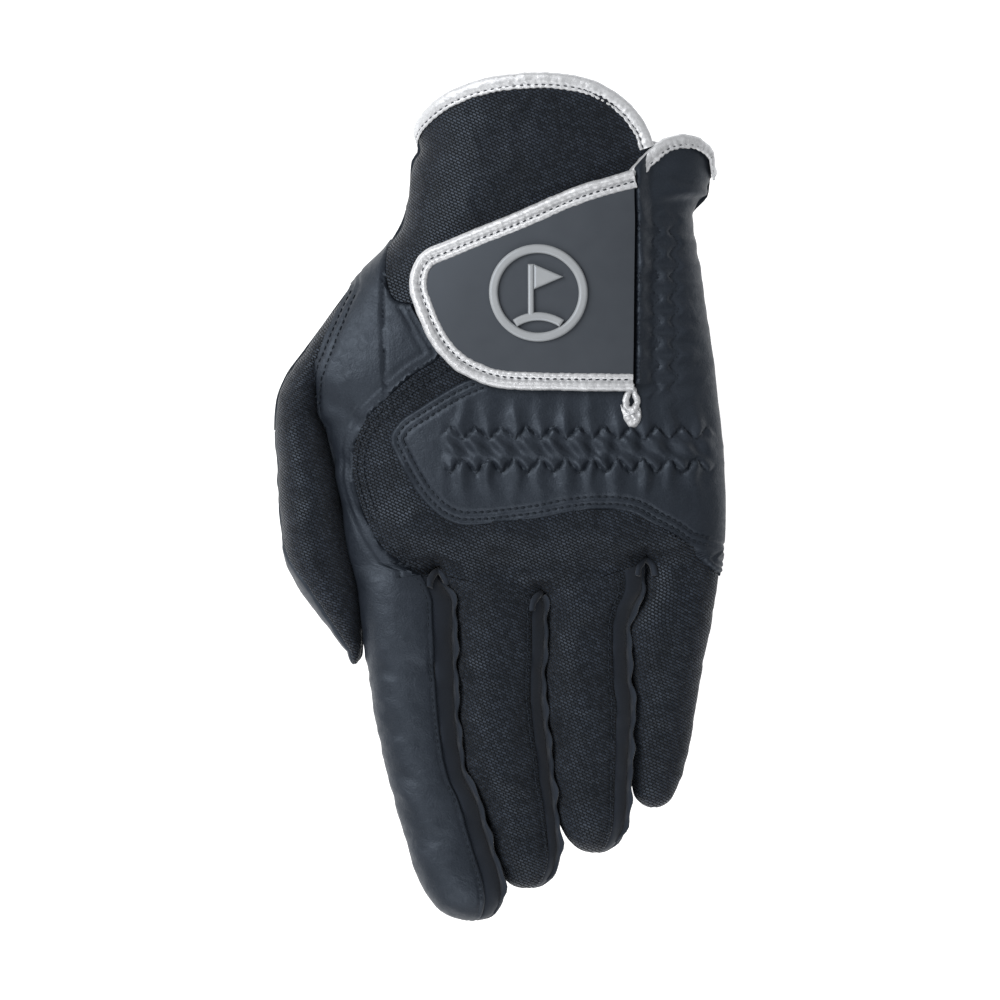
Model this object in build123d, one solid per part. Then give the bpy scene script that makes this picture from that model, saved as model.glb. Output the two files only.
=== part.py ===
from build123d import *
import math
import os

# A golf glove for the left hand, lying palm down on a flat surface.
# +X points to the little-finger side, +Y to the wrist, +Z out of the back of the hand.
# The origin is on the surface, under the middle of the glove's outline. Units are millimetres.

os.makedirs("parts", exist_ok=True)

# Driving dimensions
WALL = 1.2                # leather and mesh shell, with its seam allowance
SPLIT_HEIGHT = 15.0       # height of the seam line between palm side and back
HAND_POWER = 2.4          # squareness of the hand's cross-section, 2 being an ellipse
DIGIT_POWER = 2.15        # the same for fingers and thumb
SECTION_POINTS = 16
CRUMB = 3.0               # a loose shaving smaller than this volume isn't part of a panel
BODY_GAP = 0.6            # clearance between a digit and its neighbours
LIFT = 0.3                # clearance of fingers and thumb over the surface
REACH = 200.0             # larger than the glove, for cutting prisms

FINGER_LINE = -22.0       # where the four finger stalls start
THUMB_LINE = 20.0         # where the thumb stall starts
SLIT_X = 34.2             # the wrist slit runs under the closure tab at this place
SLIT_WIDTH = 1.4
SLIT_END = 24.0
SLIT_TOP = 85.6           # where the cuff's edge crosses the slit
LOBE_JOIN = (40.4, 91.6)  # the cuff's binding and the side lobe's binding meet here
LOBE_OUTER = 86.0         # the lobe's edge on the little-finger side
RIM_OUTER = 94.0          # the cuff's edge on the thumb side
SIDE_END = 0.0            # the side panel stops short of this line
CUFF_SEAM = 51.0          # seam between the cuff panel and the back panel
PALM_CUFF = 95.0          # palm side's edge at the wrist
BINDING_WIDTH = 3.8
BINDING_GROW = 0.5        # how far a binding stands out from its panel
BINDING_TAPER = 0.96      # the cuff binding's inner edge over its outer edge, across the glove
FORM_OVERLAP = 4.0        # the knuckle form runs this far into the wrist form

# Closure layers, as heights over the back's outer surface
LOOP_PATCH = (0.05, 0.8)
HOOK_PATCH = (1.1, 1.7)
TAB_BACKING = (1.7, 2.3)
TAB_PANEL = (2.3, 3.5)
TAB_PIPING = (1.7, 4.0)
TAB_EMBLEM = (3.5, 5.0)
PIPING_WIDTH = 4.6
EMBLEM_CENTRE = (9.8, 53.5)
EMBLEM_RADIUS = 12.6
EMBLEM_BAND = 2.4
EMBLEM_BAR_INSET = 1.0

# Cross-sections of the hand: y, left, right, bottom, top
WRIST_SECTIONS = [
    (113.0, -22.0, 52.5, -1.5, 31.0),
    (97.0, -21.6, 53.2, -2.0, 31.5),
    (84.0, -22.8, 54.2, -2.0, 31.5),
    (71.0, -26.5, 50.5, -2.0, 31.0),
    (58.0, -36.0, 51.5, -2.0, 31.0),
    (46.0, -45.5, 53.4, -2.0, 31.0),
    (33.0, -54.2, 55.2, -2.0, 30.5),
    (THUMB_LINE, -57.7, 56.6, -2.0, 30.0),
]
KNUCKLE_SECTIONS = [
    (THUMB_LINE + FORM_OVERLAP, -45.2, 56.0, -1.6, 29.6),
    (THUMB_LINE, -45.6, 56.6, -2.0, 30.0),
    (8.0, -42.6, 57.4, -2.0, 29.5),
    (-8.0, -39.8, 57.7, 0.5, 28.0),
    (FINGER_LINE, -36.6, 56.4, 4.5, 25.0),
]

# Plan of each digit: y, left, right. The last entry is the end of the stall.
DIGIT_PLANS = {
    "index": [(-22, -36.3, -12.6), (-37, -35.2, -12.4), (-52, -32.9, -11.9), (-67, -29.9, -10.3),
              (-82, -26.0, -5.9), (-96, -22.0, -2.6), (-105, -18.4, -2.6), (-109.7, -14.2, -5.6)],
    "middle": [(-22, -11.9, 11.5), (-35, -11.2, 12.0), (-50, -10.9, 11.3), (-66, -9.4, 12.9),
               (-80, -4.8, 14.3), (-91, -1.6, 15.2), (-97, 0.0, 14.4), (-101.3, 4.6, 9.8)],
    "ring": [(-22, 12.4, 35.6), (-34, 12.9, 34.0), (-50, 12.4, 34.2), (-66, 13.8, 33.9),
             (-79, 15.0, 33.2), (-86, 16.8, 31.8), (-92.3, 22.2, 27.6)],
    "little": [(-22, 36.4, 56.3), (-32, 36.0, 55.0), (-44, 35.7, 52.8), (-58, 35.6, 50.4),
               (-70, 35.6, 48.0), (-77, 36.8, 45.4), (-80.6, 39.0, 42.4)],
    "thumb": [(20, -58.4, -46.2), (8, -57.8, -43.3), (-4, -57.2, -41.2), (-14, -56.2, -40.3),
              (-23, -52.6, -38.6), (-32, -45.9, -37.2), (-38, -42.2, -36.9), (-41.5, -41.2, -37.2)],
}
FINGER_BASE_HEIGHT = 15.0     # centre of a stall's mouth over the surface
FINGER_FLATNESS = 0.8         # height over width of a stall
THUMB_CENTRE = 11.0           # the thumb lies on its side, so it is taller than wide
THUMB_HALF_HEIGHT = 10.4
FOURCHETTE_HALF = 4.2         # half the width of the strip between two fingers
FOURCHETTE_STOP = 9.0         # it ends this far short of the fingertip
MOUTH_MARGIN = 5.0            # the blocks that split a stall start this far above its mouth
FINGER_MIDDLES = {"index": -16.5, "middle": 5.0, "ring": 24.5, "little": 40.6}

# Plan outlines of the panels on the back of the hand
RIM = [(-30, RIM_OUTER), (-21.8, 97.5), (-15.5, 104.0), (-5.0, 108.3), (11.7, 109.9), (23.4, 108.2),
       (32.5, 102.8), (37.7, 96.2), (39.6, 91.0)]
LOBE = [(SLIT_X, SLIT_TOP), (39.0, 90.6), (45.0, 94.0), (49.6, 94.0), (53.3, 90.6), (60.0, LOBE_OUTER)]
SLIT_MOUTH = [(SLIT_X + SLIT_WIDTH / 2, 84.6), (41.0, 90.6), (39.6, 92.4), (SLIT_X - SLIT_WIDTH / 2, 86.2)]
RADIAL_EDGE = [(-22.6, CUFF_SEAM), (-15.1, 37.4), (-22.6, 32.2), (-30.0, 25.5), (-35.1, 20.3),
               (-37.8, 14.0), (-38.2, 9.0), (-37.4, 3.1), (-34.6, -4.4), (-30.0, -12.5),
               (-23.9, -17.7), (-14.5, FINGER_LINE)]
KNUCKLE_EDGE = [(SLIT_X, 30.0), (-9.4, 30.9), (-14.3, 28.3), (-20.5, 24.4), (-26.3, 20.5),
                (-28.4, 16.9), (-28.4, 14.3), (-23.9, 5.4), (-20.0, -0.3), (-15.6, -4.4),
                (-10.7, -6.8), (-4.9, -6.8), (10.9, -4.9), (23.4, -2.9), (34.8, -3.9),
                (39.3, -6.5), (45.5, -9.9), (54.9, -17.7), (62.0, -20.5), (62.0, 30.0)]
TAB_EDGE = [(SLIT_X, 85.3), (19.5, 80.9), (4.7, 74.4), (-13.3, 66.6), (-19.2, 63.2), (-22.4, 57.7),
            (-22.6, 54.0), (-21.1, 48.9), (-17.4, 40.3), (-12.2, 34.3), (-6.2, 30.9), (-0.3, 29.1),
            (16.6, 28.3), (SLIT_X, 28.1)]
SLIT_LOOP_CENTRE = (33.8, 22.9)
SLIT_LOOP_SIZE = (3.4, 4.3)
SLIT_LOOP_HOLE = (1.6, 2.2)
SLIT_LOOP_RISE = 1.4
SLIT_STRIP = 2.4
SLIT_STRIP_RISE = 0.6
SLIT_STRIP_ENDS = (28.0, 82.0)
ELASTIC_THICKNESS = 0.8
TAB_ROOT_X = SLIT_X       # the tab is sewn on beside the slit
TAPE_OUTLINE = [(-16.0, 62.0), (12.0, 62.0), (12.0, 38.0), (-14.0, 38.0)]

# Plan corners of the elastics
KNUCKLE_ELASTIC = ((-24.0, 8.0), (48.0, 16.0))
SIDE_ELASTIC = ((39.0, 26.0), (46.0, 72.0))
WRIST_ELASTIC = ((-16.0, 78.0), (46.0, 86.0))


finished_forms = {}


def section(y, left, right, bottom, top, power):
    """One closed cross-section of a stall or of the hand, at a constant y."""
    points = []
    for step in range(SECTION_POINTS):
        angle = 2 * math.pi * step / SECTION_POINTS
        across = math.copysign(abs(math.cos(angle)) ** (2 / power), math.cos(angle))
        upward = math.copysign(abs(math.sin(angle)) ** (2 / power), math.sin(angle))
        x = (left + right) / 2 + across * (right - left) / 2
        z = (bottom + top) / 2 + upward * (top - bottom) / 2
        points.append((x, y, z))
    return Wire([Edge.make_spline(points, periodic=True)])


def form(sections, grow, power):
    """A smooth solid through the sections, each enlarged all round by grow."""
    wires = []
    for y, left, right, bottom, top in sections:
        wires.append(section(y, left - grow, right + grow, bottom - grow, top + grow, power))
    return Solid.make_loft(wires)


def prism(outline, low=-REACH, high=REACH):
    """A straight-sided block over a plan outline."""
    face = make_face(Polyline(*outline, close=True))
    return extrude(Plane.XY.offset(low) * face, high - low)


def block(low, high):
    """A plain box between two corners."""
    size = [high[axis] - low[axis] for axis in range(3)]
    middle = [(high[axis] + low[axis]) / 2 for axis in range(3)]
    return Pos(*middle) * Box(*size)


def hand_form(grow):
    """The whole hand without its digits, flat where it lies on the surface."""
    if grow not in finished_forms:
        web = block((-REACH, THUMB_LINE + max(0.0, -grow), -REACH), (REACH, REACH, REACH))
        wrist = form(WRIST_SECTIONS, grow, HAND_POWER) & web
        knuckles = form(KNUCKLE_SECTIONS, grow, HAND_POWER)
        above_surface = block((-REACH, -REACH, -grow), (REACH, REACH, REACH))
        finished_forms[grow] = (wrist + knuckles) & above_surface
    return finished_forms[grow]


def layer(low, high):
    """The skin between two heights over the back's outer surface, on the back only."""
    skin = hand_form(high) - hand_form(low)
    return skin & block((-REACH, FINGER_LINE, SPLIT_HEIGHT), (REACH, REACH, REACH))


def ellipse_prism(centre, half_x, half_y):
    """An upright elliptical block."""
    face = Pos(*centre) * Ellipse(half_x, half_y)
    return extrude(Plane.XY.offset(-REACH) * face, 2 * REACH)


def inset(outline, distance):
    """The same outline moved inwards, for the panel inside a binding."""
    face = make_face(Polyline(*outline, close=True))
    return offset(face, -distance, kind=Kind.INTERSECTION)


def save(name, shape):
    """Write one node; its solids are kept as separate bodies of one part, without crumbs."""
    solids = [solid for solid in shape.solids() if solid.volume > CRUMB]
    print(name, len(solids), round(sum(solid.volume for solid in solids), 1))
    export_step(solids[0] if len(solids) == 1 else Compound(solids), "parts/" + name + ".step")


# Hand shell with the hole that the thumb goes through, cut into its panels
thumb_left, thumb_right = DIGIT_PLANS["thumb"][0][1:]
thumb_low = THUMB_CENTRE - THUMB_HALF_HEIGHT
thumb_high = THUMB_CENTRE + THUMB_HALF_HEIGHT
mouth_ends = [(THUMB_LINE + 2 * WALL, thumb_left, thumb_right, thumb_low, thumb_high),
              (THUMB_LINE - WALL, thumb_left, thumb_right, thumb_low, thumb_high)]
shell = hand_form(0) - hand_form(-WALL) - form(mouth_ends, -WALL, DIGIT_POWER)
below = block((-REACH, FINGER_LINE, -REACH), (REACH, PALM_CUFF, SPLIT_HEIGHT))
palm_shell = shell & below
back_shell = shell & block((-REACH, FINGER_LINE, SPLIT_HEIGHT), (REACH, REACH, REACH))

slit_left = SLIT_X - SLIT_WIDTH / 2
slit_right = SLIT_X + SLIT_WIDTH / 2
slit_gap = prism([(slit_left, SLIT_END), (slit_right, SLIT_END)] + SLIT_MOUTH)
left_of_slit = prism([(-REACH, CUFF_SEAM), (SLIT_X, CUFF_SEAM), (SLIT_X, SLIT_TOP), LOBE_JOIN,
                      (LOBE_JOIN[0], REACH), (-REACH, REACH)])
right_of_slit = prism([(SLIT_X, FINGER_LINE), (REACH, FINGER_LINE), (REACH, REACH),
                       (LOBE_JOIN[0], REACH), LOBE_JOIN, (SLIT_X, SLIT_TOP)])
under_rim = prism([(-REACH, FINGER_LINE), (-REACH, RIM_OUTER)] + RIM + [(RIM[-1][0], FINGER_LINE)])
rim_inner = [(x * BINDING_TAPER, y - BINDING_WIDTH) for x, y in RIM]
under_rim_inner = prism([(-REACH, FINGER_LINE), (-REACH, RIM_OUTER - BINDING_WIDTH)]
                        + rim_inner + [(rim_inner[-1][0], FINGER_LINE)])
under_lobe = prism([(SLIT_X, FINGER_LINE)] + LOBE + [(REACH, LOBE_OUTER), (REACH, FINGER_LINE)])
under_lobe_inner = prism([(SLIT_X, FINGER_LINE)] + [(x, y - BINDING_WIDTH) for x, y in LOBE]
                         + [(REACH, LOBE_OUTER - BINDING_WIDTH), (REACH, FINGER_LINE)])
knuckle_prism = prism(KNUCKLE_EDGE)
radial_prism = prism(RADIAL_EDGE + [(-REACH, FINGER_LINE), (-REACH, CUFF_SEAM)])
loop_hole = ellipse_prism(SLIT_LOOP_CENTRE, *SLIT_LOOP_SIZE)

cuff_zone = (back_shell & left_of_slit & under_rim) - slit_gap
cuff_panel = cuff_zone & under_rim_inner
side_zone = ((back_shell & right_of_slit & under_lobe) - slit_gap) - knuckle_prism
side_zone = side_zone - block((-REACH, -REACH, -REACH), (REACH, SIDE_END, REACH))
side_panel = (side_zone & under_lobe_inner) - loop_hole
lower_zone = back_shell & block((-REACH, FINGER_LINE, 0), (REACH, CUFF_SEAM, REACH))
knuckle_patch = (lower_zone & knuckle_prism) - slit_gap - loop_hole
radial_panel = lower_zone & radial_prism
back_panel = lower_zone - radial_prism - knuckle_prism - slit_gap - right_of_slit - loop_hole
lower_right = lower_zone & right_of_slit & block((-REACH, -REACH, 0), (REACH, SIDE_END, REACH))
back_panel = back_panel + (lower_right - knuckle_prism)

cuff_binding_zone = layer(-WALL - BINDING_GROW, BINDING_GROW) & left_of_slit & under_rim
cuff_binding = (cuff_binding_zone - under_rim_inner) - slit_gap
lobe_zone = layer(-WALL - BINDING_GROW, BINDING_GROW) & right_of_slit & under_lobe
side_binding = (lobe_zone - under_lobe_inner) - slit_gap
slit_strips = block((slit_left - SLIT_STRIP, SLIT_STRIP_ENDS[0], -REACH),
                    (slit_right + SLIT_STRIP, SLIT_STRIP_ENDS[1], REACH))
slit_binding = (layer(0, SLIT_STRIP_RISE) & slit_strips) - slit_gap
loop_ring = loop_hole - ellipse_prism(SLIT_LOOP_CENTRE, *SLIT_LOOP_HOLE)
slit_loop = layer(-WALL, SLIT_LOOP_RISE) & loop_ring

# Elastics, sewn to the inside of the shell
inside_skin = hand_form(-WALL) - hand_form(-WALL - ELASTIC_THICKNESS)
knuckle_elastic = inside_skin & block((*KNUCKLE_ELASTIC[0], SPLIT_HEIGHT), (*KNUCKLE_ELASTIC[1], REACH))
side_elastic = inside_skin & block((*SIDE_ELASTIC[0], SPLIT_HEIGHT), (*SIDE_ELASTIC[1], REACH))
wrist_elastic = inside_skin & block((*WRIST_ELASTIC[0], -REACH), (*WRIST_ELASTIC[1], SPLIT_HEIGHT / 2))

# Closure
tab_prism = prism(TAB_EDGE)
tab_inner = extrude(Plane.XY.offset(-REACH) * inset(TAB_EDGE, PIPING_WIDTH), 2 * REACH)
patch_prism = prism(TAPE_OUTLINE)
tab_zone = block((-REACH, -REACH, SPLIT_HEIGHT), (TAB_ROOT_X, REACH, REACH))
loop_patch = layer(*LOOP_PATCH) & patch_prism
hook_patch = layer(*HOOK_PATCH) & patch_prism
tab_backing = layer(*TAB_BACKING) & tab_inner & tab_zone
tab_panel = layer(*TAB_PANEL) & tab_inner & tab_zone
tab_piping = (layer(*TAB_PIPING) & tab_prism & tab_zone) - tab_inner
emblem_outer = ellipse_prism(EMBLEM_CENTRE, EMBLEM_RADIUS, EMBLEM_RADIUS)
emblem_hole = ellipse_prism(EMBLEM_CENTRE, EMBLEM_RADIUS - EMBLEM_BAND, EMBLEM_RADIUS - EMBLEM_BAND)
bar_half = EMBLEM_RADIUS - EMBLEM_BAR_INSET
emblem_bars = block((EMBLEM_CENTRE[0] - bar_half, EMBLEM_CENTRE[1] - EMBLEM_BAND / 2, 0),
                    (EMBLEM_CENTRE[0] + bar_half, EMBLEM_CENTRE[1] + EMBLEM_BAND / 2, REACH))
tab_emblem = layer(*TAB_EMBLEM) & ((emblem_outer - emblem_hole) + (emblem_bars & emblem_outer))


def digit_sections(name):
    """Cross-sections of one stall; each finger slopes down until its tip is on the surface."""
    plan = DIGIT_PLANS[name]
    if name == "thumb":
        full = (plan[2][2] - plan[2][1]) / 2
        sections = []
        for y, left, right in plan:
            half_height = THUMB_HALF_HEIGHT * min(1.0, math.sqrt((right - left) / 2 / full))
            sections.append((y, left, right, THUMB_CENTRE - half_height, THUMB_CENTRE + half_height))
        return sections
    halves = [FINGER_FLATNESS * (right - left) / 2 for y, left, right in plan]
    slopes = []
    for (y, left, right), half_height in zip(plan[1:], halves[1:]):
        slopes.append((FINGER_BASE_HEIGHT - half_height - LIFT) / (FINGER_LINE - y))
    slope = min(slopes)
    sections = []
    for (y, left, right), half_height in zip(plan, halves):
        centre = FINGER_BASE_HEIGHT - slope * (FINGER_LINE - y)
        sections.append((y, left, right, centre - half_height, centre + half_height))
    return sections


def shortened(sections, amount):
    """The same stall with its closed end drawn back by the wall thickness."""
    start = sections[0][0]
    length = start - sections[-1][0]
    scale = (length - amount) / length
    return [(start + (station[0] - start) * scale, *station[1:]) for station in sections]


def digit_shell(name):
    """A stall as a thin skin, closed at the tip and open at the hand."""
    sections = digit_sections(name)
    outer = form(sections, 0, DIGIT_POWER)
    skin = outer - form(shortened(sections, WALL), -WALL, DIGIT_POWER)
    clear = block((-REACH, -REACH, -REACH), (REACH, sections[0][0] - BODY_GAP, REACH))
    return skin & clear


def sloping_band(sections, low, high, end):
    """A slab that follows a finger's centre line, from its mouth down to end, between two offsets."""
    start = sections[0]
    last = sections[-1]
    slope = ((start[3] + start[4]) - (last[3] + last[4])) / 2 / (start[0] - last[0])
    top = start[0] + MOUTH_MARGIN
    outline = []
    for y, rise in [(top, low), (top, high), (end, high), (end, low)]:
        outline.append((0, y, FINGER_BASE_HEIGHT - slope * (start[0] - y) + rise))
    return make_face(Polyline(*outline, close=True))


def finger_parts(name):
    """Back, front and fourchettes of one finger."""
    sections = digit_sections(name)
    skin = digit_shell(name)
    end = sections[-1][0]
    middle = FINGER_MIDDLES[name]
    above = extrude(sloping_band(sections, 0, REACH, end - REACH), amount=REACH, both=True)
    strip = sloping_band(sections, -FOURCHETTE_HALF, FOURCHETTE_HALF, end + FOURCHETTE_STOP)
    strip_block = extrude(strip, amount=REACH, both=True)
    right_half = block((middle, -REACH, -REACH), (REACH, REACH, REACH))
    left_half = block((-REACH, -REACH, -REACH), (middle, REACH, REACH))
    pieces = {}
    rest = skin
    if name != "little":
        pieces["fourchette_ulnar"] = skin & strip_block & right_half
        rest = rest - (strip_block & right_half)
    if name != "index":
        pieces["fourchette_radial"] = skin & strip_block & left_half
        rest = rest - (strip_block & left_half)
    pieces["back"] = rest & above
    pieces["front"] = rest - above
    return pieces


thumb_skin = digit_shell("thumb")
thumb_above = block((-REACH, -REACH, THUMB_CENTRE), (REACH, REACH, REACH))

save("palm_panel", palm_shell)
save("cuff_panel", cuff_panel)
save("side_panel", side_panel)
save("knuckle_patch", knuckle_patch)
save("radial_panel", radial_panel)
save("back_panel", back_panel)
save("cuff_binding", cuff_binding)
save("side_binding", side_binding)
save("slit_binding", slit_binding)
save("slit_loop", slit_loop)
save("knuckle_elastic", knuckle_elastic)
save("side_elastic", side_elastic)
save("wrist_elastic", wrist_elastic)
save("loop_patch", loop_patch)
save("tab_hook_patch", hook_patch)
save("tab_backing", tab_backing)
save("tab_panel", tab_panel)
save("tab_piping", tab_piping)
save("tab_emblem", tab_emblem)
save("thumb_back", thumb_skin & thumb_above)
save("thumb_front", thumb_skin - thumb_above)
for finger in FINGER_MIDDLES:
    for piece, solid in finger_parts(finger).items():
        save(finger + "_" + piece, solid)
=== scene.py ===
import math

import bpy
import bmesh
import numpy as np
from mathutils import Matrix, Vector
from mathutils.geometry import delaunay_2d_cdt


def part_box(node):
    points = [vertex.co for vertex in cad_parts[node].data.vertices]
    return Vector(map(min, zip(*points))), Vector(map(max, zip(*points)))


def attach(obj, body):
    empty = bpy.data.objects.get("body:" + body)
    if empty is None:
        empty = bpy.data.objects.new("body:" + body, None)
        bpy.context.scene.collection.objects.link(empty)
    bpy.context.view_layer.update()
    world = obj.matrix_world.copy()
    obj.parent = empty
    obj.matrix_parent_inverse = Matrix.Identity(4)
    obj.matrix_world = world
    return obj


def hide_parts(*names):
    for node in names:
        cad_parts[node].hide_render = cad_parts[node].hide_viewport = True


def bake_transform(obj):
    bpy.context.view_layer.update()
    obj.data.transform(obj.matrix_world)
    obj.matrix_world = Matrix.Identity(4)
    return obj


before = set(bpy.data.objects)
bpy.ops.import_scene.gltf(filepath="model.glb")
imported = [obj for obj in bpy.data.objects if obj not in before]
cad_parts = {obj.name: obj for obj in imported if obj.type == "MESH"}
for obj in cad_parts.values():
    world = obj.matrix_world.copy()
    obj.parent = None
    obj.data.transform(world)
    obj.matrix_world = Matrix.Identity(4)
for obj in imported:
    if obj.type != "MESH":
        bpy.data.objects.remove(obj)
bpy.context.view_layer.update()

# A golf glove, palm down. Outlines and heights are in millimetres in the model's own frame;
# MM turns them into metres when a mesh is made.
MM = 0.001
TAB_FOLD_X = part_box("tab_piping")[1][0] / MM       # the line where the closure tab is sewn on

# ---------------------------------------------------------------- driving outlines
# The hand without its digits: y, left side, right side, underside, top
HAND = [
    (113.0, -21.6, 50.0, 0.3, 31.5), (97.5, -21.5, 52.0, 0.0, 31.5), (91.0, -21.0, 54.2, 0.0, 31.5),
    (88.0, -22.6, 54.5, 0.0, 31.5), (80.0, -23.1, 53.8, 0.0, 31.3), (74.0, -24.5, 49.4, 0.0, 31.2),
    (66.0, -28.8, 50.3, 0.0, 31.1), (58.5, -35.9, 51.5, 0.0, 31.0), (50.7, -41.9, 52.6, 0.0, 31.0),
    (39.0, -50.4, 54.4, 0.0, 30.7), (31.0, -56.0, 55.4, 0.0, 30.4), (26.0, -57.9, 56.0, 0.0, 30.2),
    (18.0, -58.5, 57.0, 0.0, 30.0), (8.0, -58.5, 57.7, 0.0, 29.5), (-2.0, -58.5, 57.9, 0.0, 28.8),
    (-10.0, -58.5, 57.7, 0.8, 27.8), (-22.0, -58.5, 56.5, 3.5, 25.0), (-32.0, -58.5, 55.5, 5.0, 24.0),
]
# Left side of the palm itself, inside the thumb's root: this is also the thumb's seam line
PALM_LEFT = [(60.0, -34.0), (54.6, -38.4), (47.1, -42.7), (40.3, -45.8), (32.2, -47.6), (23.1, -47.1),
             (18.7, -45.2), (8.0, -42.5), (-2.0, -40.5), (-9.6, -39.8), (-16.9, -38.2), (-22.0, -36.6),
             (-32.0, -35.6)]
REACH = 200.0               # larger than the glove
THUMB_WEB = 18.0            # the thumb stall leaves the hand here
WEB_START = 44.0            # and the crease between them begins here
CROTCH_RUN = 5.0            # the valley between two fingers is this long on the hand
FLATTENED = 1.5             # the palm's curve runs this far under the surface it lies flat on
HAND_SQUARE = 2.4           # 2 is an ellipse and more is squarer
DIGIT_SQUARE = 2.15
# The line where the stalls leave the hand, from the thumb side to the little-finger side
CROTCH_LINE = [(-60.0, -22.0), (-37.0, -22.0), (-16.1, -19.2), (10.5, -25.2), (38.0, -16.1), (58.0, -20.0)]

# Each stall: plan stations (y, left, right), where its rounded end begins, its tip, how square that end is,
# and the height of the tip's middle
DIGITS = {
    "index": dict(plan=[(8, -42.5, -16.3), (-19, -37.4, -16.1), (-22, -36.6, -14.2), (-27, -36.0, -11.7),
                        (-36, -35.0, -11.6), (-44, -34.0, -11.5), (-52, -32.8, -11.2),
                        (-66.3, -29.9, -10.0), (-72.5, -28.4, -8.6), (-78, -27.0, -5.6),
                        (-85.8, -24.7, -3.5), (-93.6, -22.6, -1.0), (-102, -20.0, 1.6), (-112, -17.5, 4.0)],
                  cap=-96.5, tip=-110.0, blunt=2.2, tip_height=8.9),
    "middle": dict(plan=[(8, -16.3, 10.6), (-19, -16.1, 10.5), (-22, -14.2, 10.5), (-27, -11.7, 12.0),
                         (-34.8, -11.4, 12.2), (-49, -11.2, 11.5), (-59, -10.8, 12.5), (-68.6, -9.4, 13.6),
                         (-73, -8.4, 14.0), (-81.6, -4.4, 14.7), (-91.3, -2.0, 15.6), (-102, -1.0, 15.4)],
                   cap=-88.0, tip=-101.6, blunt=2.6, tip_height=7.4),
    "ring": dict(plan=[(8, 10.6, 38.4), (-16, 10.5, 38.0), (-23, 10.5, 37.8), (-28, 12.0, 35.2),
                       (-34, 12.2, 33.6), (-47.3, 11.5, 34.1), (-52.5, 11.8, 34.9), (-65.5, 13.4, 34.2),
                       (-72, 13.9, 34.0), (-80.3, 14.7, 33.6), (-92, 16.0, 33.4)],
                 cap=-79.5, tip=-92.3, blunt=2.3, tip_height=7.6),
    "little": dict(plan=[(8, 38.4, 57.7), (-16, 38.0, 57.2), (-23, 37.8, 56.4), (-28, 35.2, 55.5),
                         (-34, 33.3, 54.6), (-42.9, 33.5, 52.8), (-50.7, 34.2, 51.7), (-58.5, 34.1, 50.4),
                         (-66.3, 34.2, 48.9), (-74.1, 34.0, 47.1), (-82, 34.0, 46.0)],
                   cap=-69.5, tip=-80.5, blunt=2.4, tip_height=6.6),
}
MOUTH = -22.0               # y of the fingers' mouths
ROOT_HEIGHT = 15.0          # centre of a finger's mouth
FLATNESS = 0.8              # a finger's height over its width
THICKEST_HALF = 9.6         # and no finger is thicker than twice this
THUMB = [(60, -34.5, -34.0), (44, -46.5, -44.0), (31, -56.0, -47.4), (24, -58.2, -47.0), (18, -58.5, -45.2),
         (8, -57.8, -42.7), (-4, -57.2, -40.4), (-12, -56.6, -38.6), (-15.6, -55.9, -37.8),
         (-19.5, -54.3, -37.0), (-27.3, -48.8, -36.2), (-35.1, -42.9, -36.0), (-39.5, -39.9, -36.2)]
THUMB_CAP = -36.0           # its rounded end begins here
THUMB_TIP = -43.0
THUMB_CENTRE = 11.0         # height of its middle
THUMB_HALF = 10.6           # half its height at its widest
THUMB_HALF_WIDTH = 8.6
THUMB_SQUARE = 2.1

RIM = [(39.4, 91.5), (37.7, 96.2), (32.5, 102.8), (23.4, 108.2), (11.7, 110.0), (-5.0, 108.3),
       (-15.5, 104.0), (-20.4, 99.4), (-21.5, 96.8)]
CUFF_LEFT = [(-24.2, 75.0), (-28.6, 65.0), (-29.1, 57.2), (-27.3, 52.2), (-22.6, 50.7)]
RADIAL_EDGE = [(-22.6, 50.7), (-18.0, 42.0), (-15.3, 37.6), (-22.6, 32.2), (-30.0, 25.6), (-35.1, 20.3),
               (-37.6, 14.8), (-38.2, 9.0), (-37.3, 3.1), (-34.6, -4.4), (-30.0, -12.5), (-23.9, -17.7),
               (-18.8, -20.2)]
PATCH_UPPER = [(3.0, 36.0), (-9.4, 30.9), (-14.3, 28.3), (-20.5, 24.4), (-26.0, 20.6), (-28.4, 17.0)]
PATCH_LOWER = [(-28.4, 14.2), (-23.9, 5.5), (-20.0, -0.3), (-15.6, -4.4), (-10.7, -6.6), (-4.9, -6.8),
               (1.3, -6.2), (10.9, -4.9), (17.2, -3.6), (23.4, -2.9), (29.6, -2.9), (34.8, -3.9),
               (39.3, -6.5), (45.5, -9.9), (50.4, -14.0), (54.9, -17.7), (57.2, -19.2)]
LOBE = [(34.6, 86.2), (39.4, 91.2), (44.0, 93.8), (49.4, 94.0), (53.4, 91.2), (54.4, 87.0)]
TAB_OUTER = [(33.6, 85.3), (19.5, 80.9), (4.7, 74.4), (-13.3, 66.6), (-19.2, 63.2), (-22.2, 58.4),
             (-22.7, 54.1), (-21.1, 48.3), (-17.4, 40.3), (-12.2, 34.3), (-6.2, 30.9), (-0.3, 29.1),
             (16.6, 28.3), (33.8, 28.1)]
SLIT_LEFT = 33.4
SLIT_RIGHT = 35.0
SIDE_SEAM = 30.0            # the side leather and the knuckle leather join here, with no step

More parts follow.
